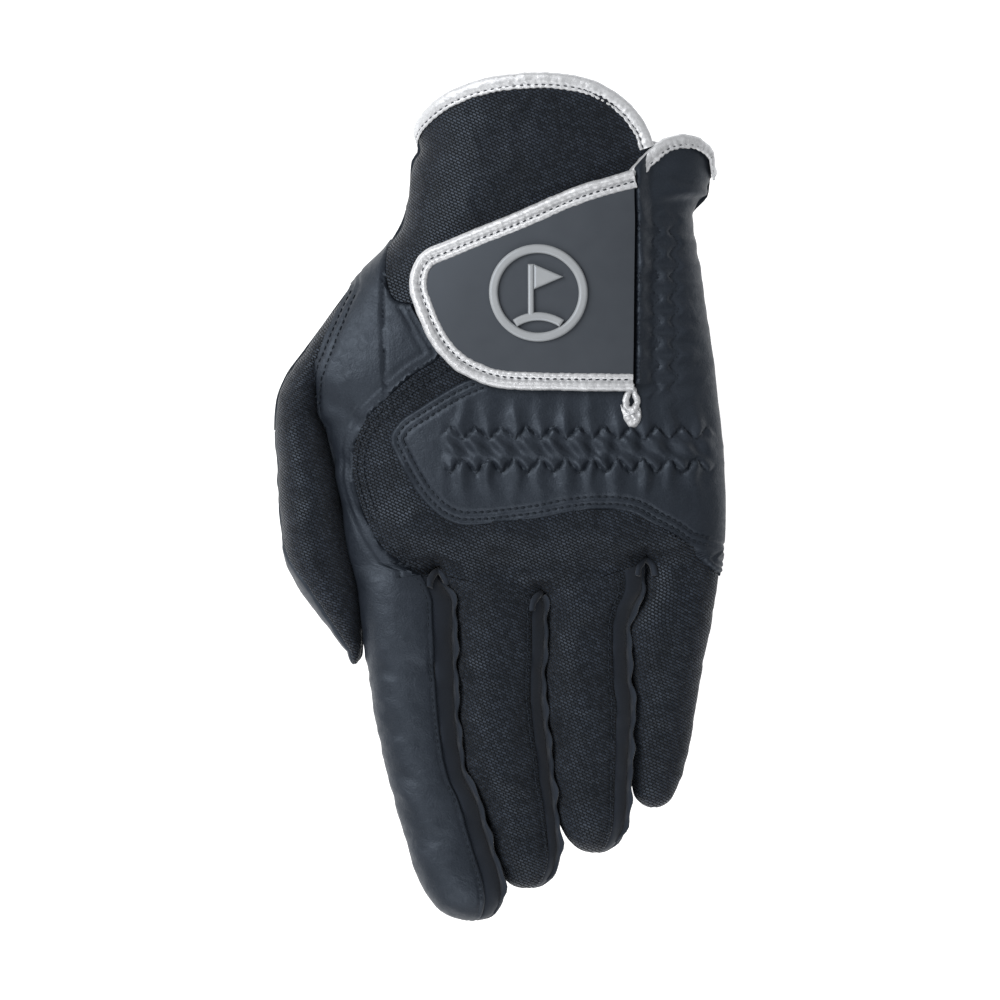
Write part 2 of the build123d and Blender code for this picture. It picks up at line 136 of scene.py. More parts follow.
# ---------------------------------------------------------------- small maths
def smooth_curve(at, table, column=1):
    """Smooth interpolation through listed values, without overshoot."""
    rows = sorted(table)
    x = np.array([row[0] for row in rows], float)
    y = np.array([row[column] for row in rows], float)
    width = np.diff(x)
    slope = np.diff(y) / width
    tangent = np.empty_like(y)
    tangent[0], tangent[-1] = slope[0], slope[-1]
    same_way = slope[:-1] * slope[1:] > 0
    total = np.where(same_way, slope[:-1] + slope[1:], 1.0)
    tangent[1:-1] = np.where(same_way, 2 * slope[:-1] * slope[1:] / total, 0.0)
    at = np.clip(np.asarray(at, float), x[0], x[-1])
    i = np.clip(np.searchsorted(x, at) - 1, 0, len(width) - 1)
    s = (at - x[i]) / width[i]
    return (y[i] * (1 + 2 * s) * (1 - s) ** 2 + tangent[i] * width[i] * s * (1 - s) ** 2
            + y[i + 1] * s * s * (3 - 2 * s) + tangent[i + 1] * width[i] * s * s * (s - 1))


def fade(value, low, high):
    """0 below low, 1 above high, smooth between; low may be the larger."""
    s = np.clip((value - low) / (high - low), 0.0, 1.0)
    return s * s * (3 - 2 * s)


def bell(value, width):
    """1 at zero, falling to nothing at about twice the width."""
    return np.exp(-(value / width) ** 2)


def between(first, second, share):
    """The first value at share 0, the second at share 1."""
    return first * (1 - share) + second * share


def unit(vectors):
    """The same directions, one long."""
    return vectors / np.maximum(np.linalg.norm(vectors, axis=-1, keepdims=True), 1e-9)


def run_along(points):
    """Distance travelled to each point of a line, or of each row of a grid."""
    gaps = np.linalg.norm(np.diff(points, axis=-2), axis=-1)
    return np.concatenate([np.zeros(gaps.shape[:-1] + (1,)), np.cumsum(gaps, axis=-1)], axis=-1)


def noise(u, v, seed):
    """A smooth random field between -1 and 1, with one cell per unit."""
    table = np.random.RandomState(seed).uniform(-1, 1, (64, 64))
    iu, iv = np.floor(u).astype(int), np.floor(v).astype(int)
    near, far = [between(table[iu % 64, (iv + k) % 64], table[(iu + 1) % 64, (iv + k) % 64], fade(u - iu, 0, 1))
                 for k in (0, 1)]
    return between(near, far, fade(v - iv, 0, 1))


def fractal(u, v, seed, octaves=3):
    """Noise with finer and fainter noise added to it."""
    return sum(noise(u * 2 ** k, v * 2 ** k, seed + k) / 2 ** k for k in range(octaves))


def even_path(line, step):
    """The same line with points at even distances."""
    line = np.asarray(line, float)
    run = run_along(line)
    places = np.linspace(0, run[-1], max(2, int(round(run[-1] / step)) + 1))
    return np.column_stack([np.interp(places, run, line[:, k]) for k in range(line.shape[1])])


def round_path(points, step=0.5, closed=False):
    """An even, smooth line through a few points."""
    p = np.array(points, float)
    if closed:
        p = np.vstack([p[-1:], p, p[:2]])
    else:
        p = np.vstack([2 * p[0] - p[1], p, 2 * p[-1] - p[-2]])
    line = []
    for corners in zip(p[:-3], p[1:-2], p[2:-1], p[3:]):
        gaps = np.linalg.norm(np.diff(corners, axis=0), axis=1)
        knots = np.concatenate([[0], np.cumsum(np.sqrt(np.maximum(gaps, 1e-6)))])
        t = np.linspace(knots[1], knots[2], max(2, int(gaps[1] / 0.1)), endpoint=False)[:, None]
        level = corners
        for spans in (((0, 1), (1, 2), (2, 3)), ((0, 2), (1, 3)), ((1, 2),)):
            level = [between(level[k], level[k + 1], (t - knots[i]) / (knots[j] - knots[i]))
                     for k, (i, j) in enumerate(spans)]
        line.append(level[0])
    return even_path(np.vstack(line + [p[-2:-1]]), step)


def ellipse(width, height, count, centre=0.0):
    """A closed round profile."""
    turn = np.linspace(0, 2 * math.pi, count, endpoint=False)
    return np.column_stack([centre + width * np.cos(turn), height * np.sin(turn)])


def distance_to(points, line):
    """Distance of each point to a line of many short runs, in the plane."""
    best = np.full(len(points), 1e9)
    for start, stop in zip(line[:-1], line[1:]):
        run = stop - start
        s = np.clip(((points - start) @ run) / max(run @ run, 1e-12), 0, 1)
        best = np.minimum(best, np.linalg.norm(points - (start + s[:, None] * run), axis=1))
    return best


def inside(points, loop):
    """Whether each point is inside a closed outline."""
    result = np.zeros(len(points), bool)
    x, y = points[:, 0], points[:, 1]
    for (x0, y0), (x1, y1) in zip(loop, np.roll(loop, -1, axis=0)):
        crosses = (y0 > y) != (y1 > y)
        if y0 != y1:
            result ^= crosses & (x < (x1 - x0) * (y - y0) / (y1 - y0) + x0)
    return result


def crotch_at(x):
    """Where the stalls leave the hand."""
    return np.interp(x, *zip(*CROTCH_LINE))


# ---------------------------------------------------------------- the glove's form
def dome(x, left, right, centre, half, power):
    """Height over the centre line of a rounded section, as a share of half."""
    u = np.clip(np.abs(2 * x - left - right) / np.maximum(right - left, 1e-6), 0, 1)
    return centre + half * (1 - u ** power) ** (1 / power)


def digit_station(name, y):
    """Left, right, centre height and half height of a finger at y, without its rounded end."""
    digit = DIGITS[name]
    left, right = [smooth_curve(y, digit["plan"], column) for column in (1, 2)]
    centre = between(ROOT_HEIGHT, digit["tip_height"], np.clip((MOUTH - y) / (MOUTH - digit["tip"]), 0, 1))
    return left, right, centre, np.minimum(FLATNESS * (right - left) / 2, THICKEST_HALF)


def thumb_station(y):
    """The same for the thumb."""
    left, right = [smooth_curve(y, THUMB, column) for column in (1, 2)]
    slimness = np.clip((right - left) / 2 / THUMB_HALF_WIDTH, 0.05, 1.0)
    half = THUMB_HALF * np.sqrt(slimness) + fade(y, 18, 44) * 2.5
    return left, right, THUMB_CENTRE + fade(y, 16, 44) * 3.0, half


def hand_row(y):
    """One closed section of the hand at y, from the thumb side over the back and round underneath.
    Returns its points and how many of them are on the back."""
    left, right, bottom, top = [smooth_curve(y, HAND, column) for column in (1, 2, 3, 4)]
    palm_left = smooth_curve(y, PALM_LEFT)
    start = left if y >= THUMB_WEB else palm_left
    x = (start + right) / 2 - np.cos(np.linspace(0, math.pi, 1500)) * (right - start) / 2
    extra = [np.linspace(place - 1.2, place + 1.2, 160) for place in (-16.1, -13, 10.5, 11.5, 38.0, 36.0)]
    extra.append(np.linspace(palm_left - 2, palm_left + 2, 200))
    x = np.sort(np.concatenate([x] + extra))
    x = x[(x >= start) & (x <= right)]

    def section(first):
        underneath = dome(x, first, right, 0, ROOT_HEIGHT + FLATTENED - bottom, HAND_SQUARE)
        return dome(x, first, right, ROOT_HEIGHT, top - ROOT_HEIGHT, HAND_SQUARE), ROOT_HEIGHT - underneath

    up, down = section(start)
    if y < WEB_START:
        web = fade(y, WEB_START, THUMB_WEB)
        on_thumb = x < palm_left
        thumb_left, _, centre, half = thumb_station(y)
        arch = dome(x, thumb_left, palm_left, 0, half, THUMB_SQUARE)
        palm_up, palm_down = section(palm_left)
        up = between(up, np.where(on_thumb, centre + arch, palm_up), web)
        down = between(down, np.where(on_thumb, centre - arch, palm_down), web)
    if y < -10:
        share = fade(y, crotch_at(x) + CROTCH_RUN, crotch_at(x))
        fingers_up, fingers_down = np.full_like(x, ROOT_HEIGHT), np.full_like(x, ROOT_HEIGHT)
        for name in DIGITS:
            first, last, centre, half = digit_station(name, y)
            on = (x >= first) & (x <= last)
            arch = dome(x, first, last, 0, half, DIGIT_SQUARE)
            fingers_up = np.where(on, centre + arch, fingers_up)
            fingers_down = np.where(on, centre - arch, fingers_down)
        up, down = between(up, fingers_up, share), between(down, fingers_down, share)
    down = np.maximum(down, 0.0)
    up = np.maximum(up, down)
    ring_x = np.concatenate([x, x[::-1]])
    points = np.column_stack([ring_x, np.full_like(ring_x, y), np.concatenate([up, down[::-1]])])
    return np.vstack([points, points[:1]]), len(x)


class HandSkin:
    """The hand's outer surface, looked up by place across (t, from the middle of the back) and y."""

    MIDDLE_X = 8.0
    STEP_ALONG = 0.5
    STEP_ACROSS = 0.4
    HALF = 208.0

    def __init__(self, low, high):
        self.rows = np.arange(low, high + 1e-6, self.STEP_ALONG)
        self.t = np.arange(-self.HALF, self.HALF + 1e-6, self.STEP_ACROSS)
        self.points = np.zeros((len(self.rows), len(self.t), 3))
        self.edges = {"left": [], "right": []}
        self.half_loop = []
        self.tops = []
        for i, y in enumerate(self.rows):
            loop, top_count = hand_row(y)
            run = run_along(loop)
            run_here = run - np.interp(self.MIDDLE_X, loop[:top_count, 0], run[:top_count])
            self.edges["left"].append(run_here[0])
            self.edges["right"].append(run_here[top_count - 1])
            self.half_loop.append(run[-1] / 2)
            places = np.mod(self.t - run_here[0], run[-1])
            self.points[i] = np.column_stack([np.interp(places, run, loop[:, axis]) for axis in range(3)])
            self.tops.append((loop[:top_count, 0], run_here[:top_count]))
        self.normals = grid_normals(self.points)

    def _look(self, field, t, y):
        row = np.clip((np.asarray(y, float) - self.rows[0]) / self.STEP_ALONG, 0, len(self.rows) - 1.001)
        column = np.clip((np.asarray(t, float) + self.HALF) / self.STEP_ACROSS, 0, len(self.t) - 1.001)
        r, c = row.astype(int), column.astype(int)
        low, high = [between(field[k, c], field[k, c + 1], (column - c)[..., None]) for k in (r, r + 1)]
        return between(low, high, (row - r)[..., None])

    def at(self, chart, least_y=-REACH):
        """Points and outward normals at places (t, y); the normals are those at least_y and above."""
        t, y = chart[..., 0], chart[..., 1]
        return self._look(self.points, t, y), unit(self._look(self.normals, t, np.maximum(y, least_y)))

    def edge(self, y, side):
        """The place across of the hand's outermost line."""
        return np.interp(y, self.rows, self.edges[side])

    def chart(self, line):
        """A plan line on the back as (t, y)."""
        result = []
        for x, y in line:
            row = np.clip((y - self.rows[0]) / self.STEP_ALONG, 0, len(self.rows) - 1.001)
            low, high = [np.interp(x, *self.tops[k]) for k in (int(row), int(row) + 1)]
            result.append((between(low, high, row - int(row)), y))
        return np.array(result)


def grid_normals(grid):
    """Outward normals of a grid whose columns and rows run, seen from outside, like x and y."""
    return unit(np.cross(np.gradient(grid, axis=1), np.gradient(grid, axis=0)))


skin = HandSkin(-30.0, 112.0)


# ---------------------------------------------------------------- materials
COOL = (0.72, 0.84, 1.0)     # the dark materials reflect slightly blue


class Paint:
    """A material made of nodes. Its textures lie on the piece's own cloth, measured in millimetres."""

    def __init__(self, name, colour, roughness, metallic=0.0, specular=0.5, sheen=0.0, tint=COOL):
        self.material = bpy.data.materials.new(name)
        self.material.use_nodes = True
        self.tree = self.material.node_tree
        self.surface = self.tree.nodes["Principled BSDF"].inputs
        for key, value in {"Base Color": (*colour, 1), "Roughness": roughness, "Metallic": metallic,
                           "Specular IOR Level": specular, "Specular Tint": (*tint, 1),
                           "Sheen Weight": sheen, "Sheen Roughness": 0.45}.items():
            self.surface[key].default_value = value
        cloth = self.add("UVMap", uv_map="cloth").outputs["UV"]
        self.place = self.add("VectorMath", {0: cloth, "Scale": 1 / MM}, operation="SCALE").outputs[0]

    def feed(self, socket, value):
        """Sets a socket to a value, or links another socket into it."""
        if isinstance(value, bpy.types.NodeSocket):
            self.tree.links.new(value, socket)
        else:
            socket.default_value = value

    def add(self, kind, inputs=None, **settings):
        """One node with its settings, and what goes into it."""
        made = self.tree.nodes.new("ShaderNode" + kind)
        for key, value in settings.items():
            setattr(made, key, value)
        for key, value in (inputs or {}).items():
            self.feed(made.inputs[key], value)
        return made

    def texture(self, kind, scale, output="Fac", **inputs):
        """A texture on the cloth."""
        values = {key.title(): value for key, value in inputs.items()}
        return self.add("Tex" + kind, {"Vector": self.place, "Scale": scale, **values}).outputs[output]

    def spread(self, source, low, high, source_low=0.0, source_high=1.0):
        """The source's range turned into low to high."""
        return self.add("MapRange", {"Value": source, "From Min": source_low, "From Max": source_high,
                                     "To Min": low, "To Max": high}).outputs["Result"]

    def colours(self, share, first, second):
        mix = self.add("Mix", {0: share, 6: (*first, 1), 7: (*second, 1)}, data_type="RGBA")
        self.feed(self.surface["Base Color"], mix.outputs[2])

    def finish(self, roughness, *bumps):
        """Sets the roughness and the bumps one on another: each is (height, strength, depth in metres)."""
        self.feed(self.surface["Roughness"], roughness)
        normal = {}
        for height, strength, depth in bumps:
            bump = self.add("Bump", {"Height": height, "Strength": strength, "Distance": depth, **normal})
            normal = {"Normal": bump.outputs["Normal"]}
        self.feed(self.surface["Normal"], normal["Normal"])
        return self.material


def leather(name, dark, light, low_rough, high_rough, grain=1.5, bump=0.35):
    """Thin glove leather: fine pores, slow changes of tone, a soft uneven sheen."""
    paint = Paint(name, dark, low_rough)
    patches = paint.texture("Noise", 0.16, detail=4.0, roughness=0.6)
    pores = paint.texture("Voronoi", grain, "Distance", randomness=1.0)
    fine = paint.texture("Noise", 5.0, detail=3.0)
    creases = paint.texture("Noise", 0.55, detail=5.0, distortion=0.8)
    speckle = paint.texture("Noise", 2.6, detail=3.0, roughness=0.7)
    grains = paint.spread(speckle, -0.25, 0.45, 0.35, 0.7)
    tone = paint.add("Math", {0: patches, 1: grains}, operation="ADD", use_clamp=True)
    paint.colours(tone.outputs[0], dark, light)
    return paint.finish(paint.spread(creases, low_rough, high_rough, 0.3, 0.7), (creases, bump, 0.0004),
                        (pores, bump, 0.00012), (fine, bump * 0.6, 0.00006))


def knit(name, painted_hole_shade, low, high):
    """Stretch mesh: short slanted strands in offset rows, with painted shade in the hole beside each."""
    paint = Paint(name, low, 0.62, specular=0.3, sheen=0.05)
    wander = paint.texture("Noise", 0.35, "Color", detail=2.0)
    sway = paint.add("VectorMath", {0: wander, 1: (0.35, 0.35, 0.0), 2: paint.place}, operation="MULTIPLY_ADD")
    turn = paint.add("Mapping", {"Vector": sway.outputs[0], "Rotation": (0, 0, math.radians(24))})
    # the mortar colour is painted shade in the holes between the raised strands
    strand = paint.add("TexBrick", {
        "Vector": turn.outputs["Vector"], "Scale": 1.0, "Mortar Size": 0.19, "Mortar Smooth": 1.0,
        "Brick Width": 1.2, "Row Height": 0.72, "Bias": -0.1, "Color1": (*high, 1), "Color2": (*low, 1),
        "Mortar": (*painted_hole_shade, 1)}, offset=0.42)
    fuzz = paint.texture("Noise", 5.0, detail=2.0)
    tone = paint.spread(paint.texture("Noise", 0.1, detail=3.0), 0.7, 1.3, 0.3, 0.7)
    shaded = paint.add("VectorMath", {0: strand.outputs["Color"], "Scale": tone}, operation="SCALE")
    paint.feed(paint.surface["Base Color"], shaded.outputs[0])
    height = paint.add("Math", {0: 1.0, 1: strand.outputs["Fac"]}, operation="SUBTRACT").outputs[0]
    return paint.finish(paint.spread(height, 0.95, 0.42), (height, 1.0, 0.0005), (fuzz, 0.3, 0.00006))


def stretch_cloth(name, dark, light):
    """Plain fine stretch cloth with a faint rib, for the strips between the fingers."""
    paint = Paint(name, dark, 0.7, specular=0.3, sheen=0.25)
    rib = paint.texture("Wave", 1.1, distortion=0.6, detail=1.0)
    fuzz = paint.texture("Noise", 7.0, detail=3.0)
    paint.colours(paint.texture("Noise", 0.18, detail=4.0), dark, light)
    return paint.finish(paint.spread(fuzz, 0.6, 0.85), (rib, 0.25, 0.00008), (fuzz, 0.35, 0.00005))


def silver_cloth(name):
    """Metallic coated fabric, crumpled where it is sewn, with painted shade in the crumple's hollows and
    painted highlight on its crests.
    """
    paint = Paint(name, (0.62, 0.63, 0.65), 0.34, metallic=0.35, tint=(1, 1, 1))
    crumple = paint.texture("Noise", 0.9, detail=4.0, distortion=1.2)
    thread = paint.texture("Wave", 2.2, distortion=1.5)
    # the colour follows the crumple's height: painted shade in the hollows, painted highlight on the crests
    paint.colours(crumple, (0.42, 0.43, 0.45), (0.74, 0.75, 0.77))
    return paint.finish(paint.spread(thread, 0.26, 0.5), (crumple, 0.4, 0.0004), (thread, 0.2, 0.00006))


def moulding(name, dark, light, roughness, bump=0.2):
    """Moulded rubber or plastic with a very fine matte texture."""
    paint = Paint(name, dark, roughness)
    clouds = paint.texture("Noise", 0.2, detail=5.0)
    sand = paint.texture("Noise", 7.0, detail=2.0)
    paint.colours(clouds, dark, light)
    return paint.finish(paint.spread(clouds, roughness - 0.08, roughness + 0.1), (sand, bump, 0.00005),
                        (clouds, 0.1, 0.0003))


def pile(name, dark, light, scale):
    """Hook or loop tape, or ribbed elastic: short dense fibres in rows."""
    paint = Paint(name, dark, 0.9, sheen=0.1)
    rows = paint.texture("Voronoi", scale, "Distance", randomness=0.45)
    paint.colours(rows, light, dark)
    return paint.finish(paint.spread(rows, 0.7, 0.95), (rows, 0.8, 0.0003))


LEATHER = leather("leather", (0.0045, 0.0065, 0.0100), (0.0150, 0.0185, 0.0260), 0.44, 0.58, grain=2.1,
                  bump=0.32)
# the first, near-black colour is painted shade in the mesh's holes
MESH = knit("mesh", (0.0002, 0.0003, 0.0006), (0.0038, 0.0054, 0.0090), (0.0220, 0.0280, 0.0400))
FOURCHETTE = stretch_cloth("fourchette", (0.0090, 0.0120, 0.0180), (0.0160, 0.0200, 0.0290))
SUEDE = leather("suede", (0.016, 0.018, 0.022), (0.026, 0.028, 0.032), 0.8, 0.95, grain=2.5, bump=0.5)
SILVER = silver_cloth("silver")
RUBBER = moulding("rubber", (0.038, 0.042, 0.049), (0.05, 0.055, 0.063), 0.6)
EMBLEM = moulding("emblem", (0.30, 0.315, 0.33), (0.36, 0.375, 0.39), 0.34, bump=0.1)
PILE = pile("pile", (0.008, 0.009, 0.011), (0.03, 0.032, 0.037), 2.2)
ELASTIC = pile("elastic", (0.012, 0.013, 0.016), (0.03, 0.032, 0.036), 1.1)
THREAD = leather("thread", (0.003, 0.004, 0.006), (0.008, 0.010, 0.014), 0.6, 0.75, grain=4.0)


# ---------------------------------------------------------------- making meshes
def new_piece(name, vertices, faces, uvs, material):
    """A smooth mesh object; vertices and uvs are in millimetres."""
    mesh = bpy.data.meshes.new(name)
    mesh.from_pydata((np.asarray(vertices) * MM).tolist(), [], faces)
    layer = mesh.uv_layers.new(name="cloth")
    loops = np.zeros(len(mesh.loops), np.int32)
    mesh.loops.foreach_get("vertex_index", loops)
    layer.data.foreach_set("uv", (np.asarray(uvs)[loops] * MM).astype(np.float32).ravel())
    mesh.materials.append(material)
    mesh.polygons.foreach_set("use_smooth", np.ones(len(mesh.polygons), bool))
    mesh.validate()
    mesh.update()
    piece = bpy.data.objects.new(name, mesh)
    bpy.context.scene.collection.objects.link(piece)
    return piece


def grid_faces(rows, columns, offset=0, around=False, flip=False):
    """Quads of a grid of rows by columns, which may close on itself across."""
    faces = []
    last = columns if around else columns - 1
    for r in range(rows - 1):
        for c in range(last):
            a = offset + r * columns + c
            b = offset + r * columns + (c + 1) % columns
            quad = (a, b, b + columns, a + columns)
            faces.append(quad[::-1] if flip else quad)
    return faces


def end_caps(rows, columns, offset=0):
    """The faces that close the first and the last ring of a tube."""
    first, last = offset, offset + (rows - 1) * columns
    return [tuple(range(first + columns - 1, first - 1, -1)), tuple(range(last, last + columns))]


SHARP_ANGLE = math.radians(52)


def clean(piece, weld=False):
    """Makes the faces look outwards and the sharp edges sharp; welding first joins points that coincide."""
    mesh = bmesh.new()
    mesh.from_mesh(piece.data)
    if weld:
        bmesh.ops.remove_doubles(mesh, verts=mesh.verts, dist=2e-6)
    bmesh.ops.recalc_face_normals(mesh, faces=mesh.faces)
    for seam in mesh.edges:
        seam.smooth = len(seam.link_faces) == 2 and seam.calc_face_angle(0.0) < SHARP_ANGLE
    mesh.to_mesh(piece.data)
    mesh.free()
    return piece


def tube(name, grid, uv, material, closed=False):
    """A solid band from a grid with one closed profile in each row; closed bands meet end to end."""
    rows, columns = grid.shape[:2]
    faces = grid_faces(rows, columns, around=True)
    if closed:
        last = (rows - 1) * columns
        faces += [(last + c, last + (c + 1) % columns, (c + 1) % columns, c) for c in range(columns)]
    else:
        faces += end_caps(rows, columns)
    return clean(new_piece(name, grid.reshape(-1, 3), faces, uv.reshape(-1, 2), material))


def shell_grid(name, outer, inner, uv, material, weld=False):
    """A closed thick sheet between two grids of the same size."""
    rows, columns = outer.shape[:2]
    count = rows * columns
    faces = grid_faces(rows, columns) + grid_faces(rows, columns, count, flip=True)
    numbers = np.arange(count).reshape(rows, columns)
    border = np.concatenate([numbers[0], numbers[1:, -1], numbers[-1, -2::-1], numbers[-2:0:-1, 0]]).tolist()
    faces += [(b, a, a + count, b + count) for a, b in zip(border, border[1:] + border[:1])]
    vertices = np.vstack([outer.reshape(-1, 3), inner.reshape(-1, 3)])
    return clean(new_piece(name, vertices, faces, np.vstack([uv.reshape(-1, 2)] * 2), material), weld)


def join(pieces, name):
    """One object from several that share it."""
    bpy.ops.object.select_all(action="DESELECT")
    for piece in pieces:
        piece.select_set(True)
    bpy.context.view_layer.objects.active = pieces[0]
    if len(pieces) > 1:
        bpy.ops.object.join()
    pieces[0].name = name
    pieces[0].data.name = name
    return pieces[0]


def anticlockwise(outline):
    """The closed outline, turned round if it runs clockwise."""
    after = np.roll(outline, -1, axis=0)
    area = np.sum(outline[:, 0] * after[:, 1] - after[:, 0] * outline[:, 1])
    return outline[::-1] if area < 0 else outline


def closed_line(outline):
    return np.vstack([outline, outline[:1]])


def soft_edge(far, width):
    """1 at an edge, falling round to 0 at the given distance from it."""
    return 1 - np.sqrt(np.clip(far / width, 0, 1))


def fill(outline, spacing):
    """Points and triangles that fill an outline evenly, with every second row shifted."""
    (left, low), (right, high) = outline.min(axis=0), outline.max(axis=0)
    u, v = np.meshgrid(np.arange(left, right, spacing), np.arange(low, high, spacing * 0.87))
    u = u + (np.arange(len(u)) % 2)[:, None] * spacing / 2
    grid = np.column_stack([u.ravel(), v.ravel()])
    grid = grid[inside(grid, outline)]
    grid = grid[distance_to(grid, closed_line(outline)) > spacing * 0.45]
    points = [Vector(p) for p in np.vstack([outline, grid])]
    coordinates, _, faces, _, _, _ = delaunay_2d_cdt(points, [], [list(range(len(outline)))], 1, 1e-5)
    return np.array([tuple(p) for p in coordinates]), [tuple(f) for f in faces]


def panel(name, outline, material, rise, thickness=0.9, spacing=1.0, free=None, edge=0.7, base=0.0, under=None,
          plan_cloth=False):
    """A thick sheet on the hand's surface inside an outline in (t, y).
    rise(points, chart) gives its height over the surface and under, if given, that of its underside;
    free is the part of the outline with a rounded edge. The weave follows the hand's girth, or its plan."""
    outline = anticlockwise(even_path(closed_line(outline), spacing * 0.7)[:-1])
    chart, triangles = fill(outline, spacing)
    place, normal = skin.at(chart)
    height = base + rise(place, chart)
    if free is not None:
        height = height - soft_edge(distance_to(chart, free), edge) * np.maximum(height - base + 0.1, 0)
    underside = np.minimum(height, base) - thickness
    if under is not None:
        underside = np.minimum(underside + under(place), height - 0.3)
    count = len(chart)
    edges = dict.fromkeys((a, b) for face in triangles for a, b in zip(face, face[1:] + face[:1]))
    faces = triangles + [tuple(i + count for i in face[::-1]) for face in triangles]
    faces += [(b, a, a + count, b + count) for a, b in edges if (b, a) not in edges]
    vertices = np.vstack([place + normal * height[:, None], place + normal * underside[:, None]])
    cloth = place[:, :2] if plan_cloth else chart
    return clean(new_piece(name, vertices, faces, np.vstack([cloth, cloth]), material))


def frames(path, normals):
    """Direction of travel and direction to the left of it at each point of a path on a surface."""
    travel = unit(np.gradient(path, axis=0))
    return travel, unit(np.cross(normals, travel))


def sweep(name, path, normals, profile, material, crumple=0.0, seed=1, closed=False, pucker=0.0, sewn=3.0):
    """A band of one closed profile, (inward, up) in millimetres, along a path on a surface.
    It is crumpled all over and puckered near the line, sewn millimetres inwards, where it is stitched."""
    _, inward = frames(path, normals)
    if closed:
        path, normals, inward = path[:-1], normals[:-1], inward[:-1]
    ring = even_path(closed_line(profile), 0.28)[:-1]
    out = unit(ring - ring.mean(axis=0))
    s, a = np.meshgrid(run_along(path), run_along(ring), indexing="ij")
    swell = crumple * (fractal(s / 2.6, a / 3.2, seed) + 0.6 * fractal(s / 1.1 + a / 2.5, a / 2.0, seed + 7))
    wave = np.abs(np.sin(math.pi * s / 1.9 + 1.5 * noise(s / 6, a / 9, seed + 3))) ** 3
    swell = swell - pucker * wave * bell(ring[:, 0] - sewn, 1.3)
    across, up = [(ring[:, k] + swell * out[:, k])[..., None] for k in (0, 1)]
    grid = path[:, None, :] + inward[:, None, :] * across + normals[:, None, :] * up
    return tube(name, grid, np.stack([s, a], axis=2), material, closed)


CAPSULE = [(-1.0, 0.05), (-0.82, 0.75), (-0.35, 1.0), (0.35, 1.0), (0.82, 0.75), (1.0, 0.05)]
CAPSULE_SIDES = 6


def stitches(name, path, normals, pitch=1.8, length=1.25, radius=0.2):
    """A row of short threads, each a small capsule half sunk in the surface."""
    run = run_along(path)
    fields = np.column_stack([path, frames(path, normals)[0], normals])
    turn = np.linspace(0, 2 * math.pi, CAPSULE_SIDES, endpoint=False)[:, None]
    vertices, faces, uvs = [], [], []
    for k in range(max(1, int(run[-1] / pitch))):
        middle = (k + 0.5) * pitch
        centre, direction, up = np.split(np.array([np.interp(middle, run, field) for field in fields.T]), 3)
        direction = unit(direction)
        offset = unit(np.cross(up, direction)) * np.cos(turn) + up * np.sin(turn)
        first = k * len(CAPSULE) * CAPSULE_SIDES
        faces += grid_faces(len(CAPSULE), CAPSULE_SIDES, first, around=True)
        faces += end_caps(len(CAPSULE), CAPSULE_SIDES, first)
        for along, width in CAPSULE:
            sunk = up * radius * 0.9 * along * along
            vertices.append(centre + direction * along * length / 2 + offset * radius * width - sunk)
            uvs.append([(middle + along, side * 0.2) for side in range(CAPSULE_SIDES)])
    return new_piece(name, np.vstack(vertices), faces, np.vstack(uvs), THREAD)


def on_skin(chart, height=0.0):
    """Points at a height over the hand's surface, and the normals there, for a line in (t, y)."""
    place, normal = skin.at(chart)
    return place + normal * np.asarray(height)[..., None], normal


def shifted(line, distance):
    """A plane line moved to its left."""
    travel = unit(np.gradient(line, axis=0))
    return line + np.column_stack([-travel[:, 1], travel[:, 0]]) * distance


def edge_line(side, ys):
    """The hand's outermost line at the given places, as (t, y)."""
    ys = np.asarray(ys, float)
    return np.column_stack([skin.edge(ys, side), ys])


def straight(points):
    """A line with straight runs on the back of the hand, as (t, y)."""
    return skin.chart(even_path(points, 0.8))


def put(piece, body, slot, *cad_nodes):
    """The piece rides on a body and stands for CAD nodes, which it hides; the slot is not used."""
    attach(piece, body)
    if cad_nodes:
        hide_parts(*cad_nodes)
    return piece


# ---------------------------------------------------------------- how the surfaces undulate
def folds(place, strength=1.0):
    """Slow dents and soft creases of worn soft goods."""
    x, y = place[..., 0], place[..., 1]
    slow = 0.35 * fractal(x / 17, y / 17, 11)
    creased = 0.25 * (1 - np.abs(fractal(x / 9 + y / 22, y / 13 - x / 30, 23, 2))) ** 3
    return strength * (slow + creased)


def knuckle_swell(place):
    """The row of knuckles and the dip before the fingers."""
    x, y = place[..., 0], place[..., 1]
    swell = 1.6 * bell(y + 7.5, 6.0) - 1.3 * bell(y + 17.0, 4.5)
    return swell * (0.6 + 0.4 * np.cos(2 * math.pi * (x - 0.5) / 24.0))


GATHER = 6.65              # distance between gathers of the knuckle elastic
GATHER_START = -6.2        # x of one of its peaks
SIDE_GATHER = 5.8          # the same distance for the side elastic


def zigzag(value, pitch):
    """0 to 1 and back over each pitch."""
    return np.abs((value / pitch) % 1.0 - 0.5) * 2


def knuckle_thread(x, upper):
    """The two zigzag thread lines over the knuckle elastic, mirror images of each other."""
    wave = zigzag(x - GATHER_START, GATHER)
    return 15.6 + 3.6 * wave if upper else 10.9 - 4.0 * wave


def side_thread(y, first):
    """The two zigzag thread lines over the side elastic."""
    wave = zigzag(y, SIDE_GATHER)
    return 38.6 + 2.6 * wave if first else 46.0 - 2.6 * wave


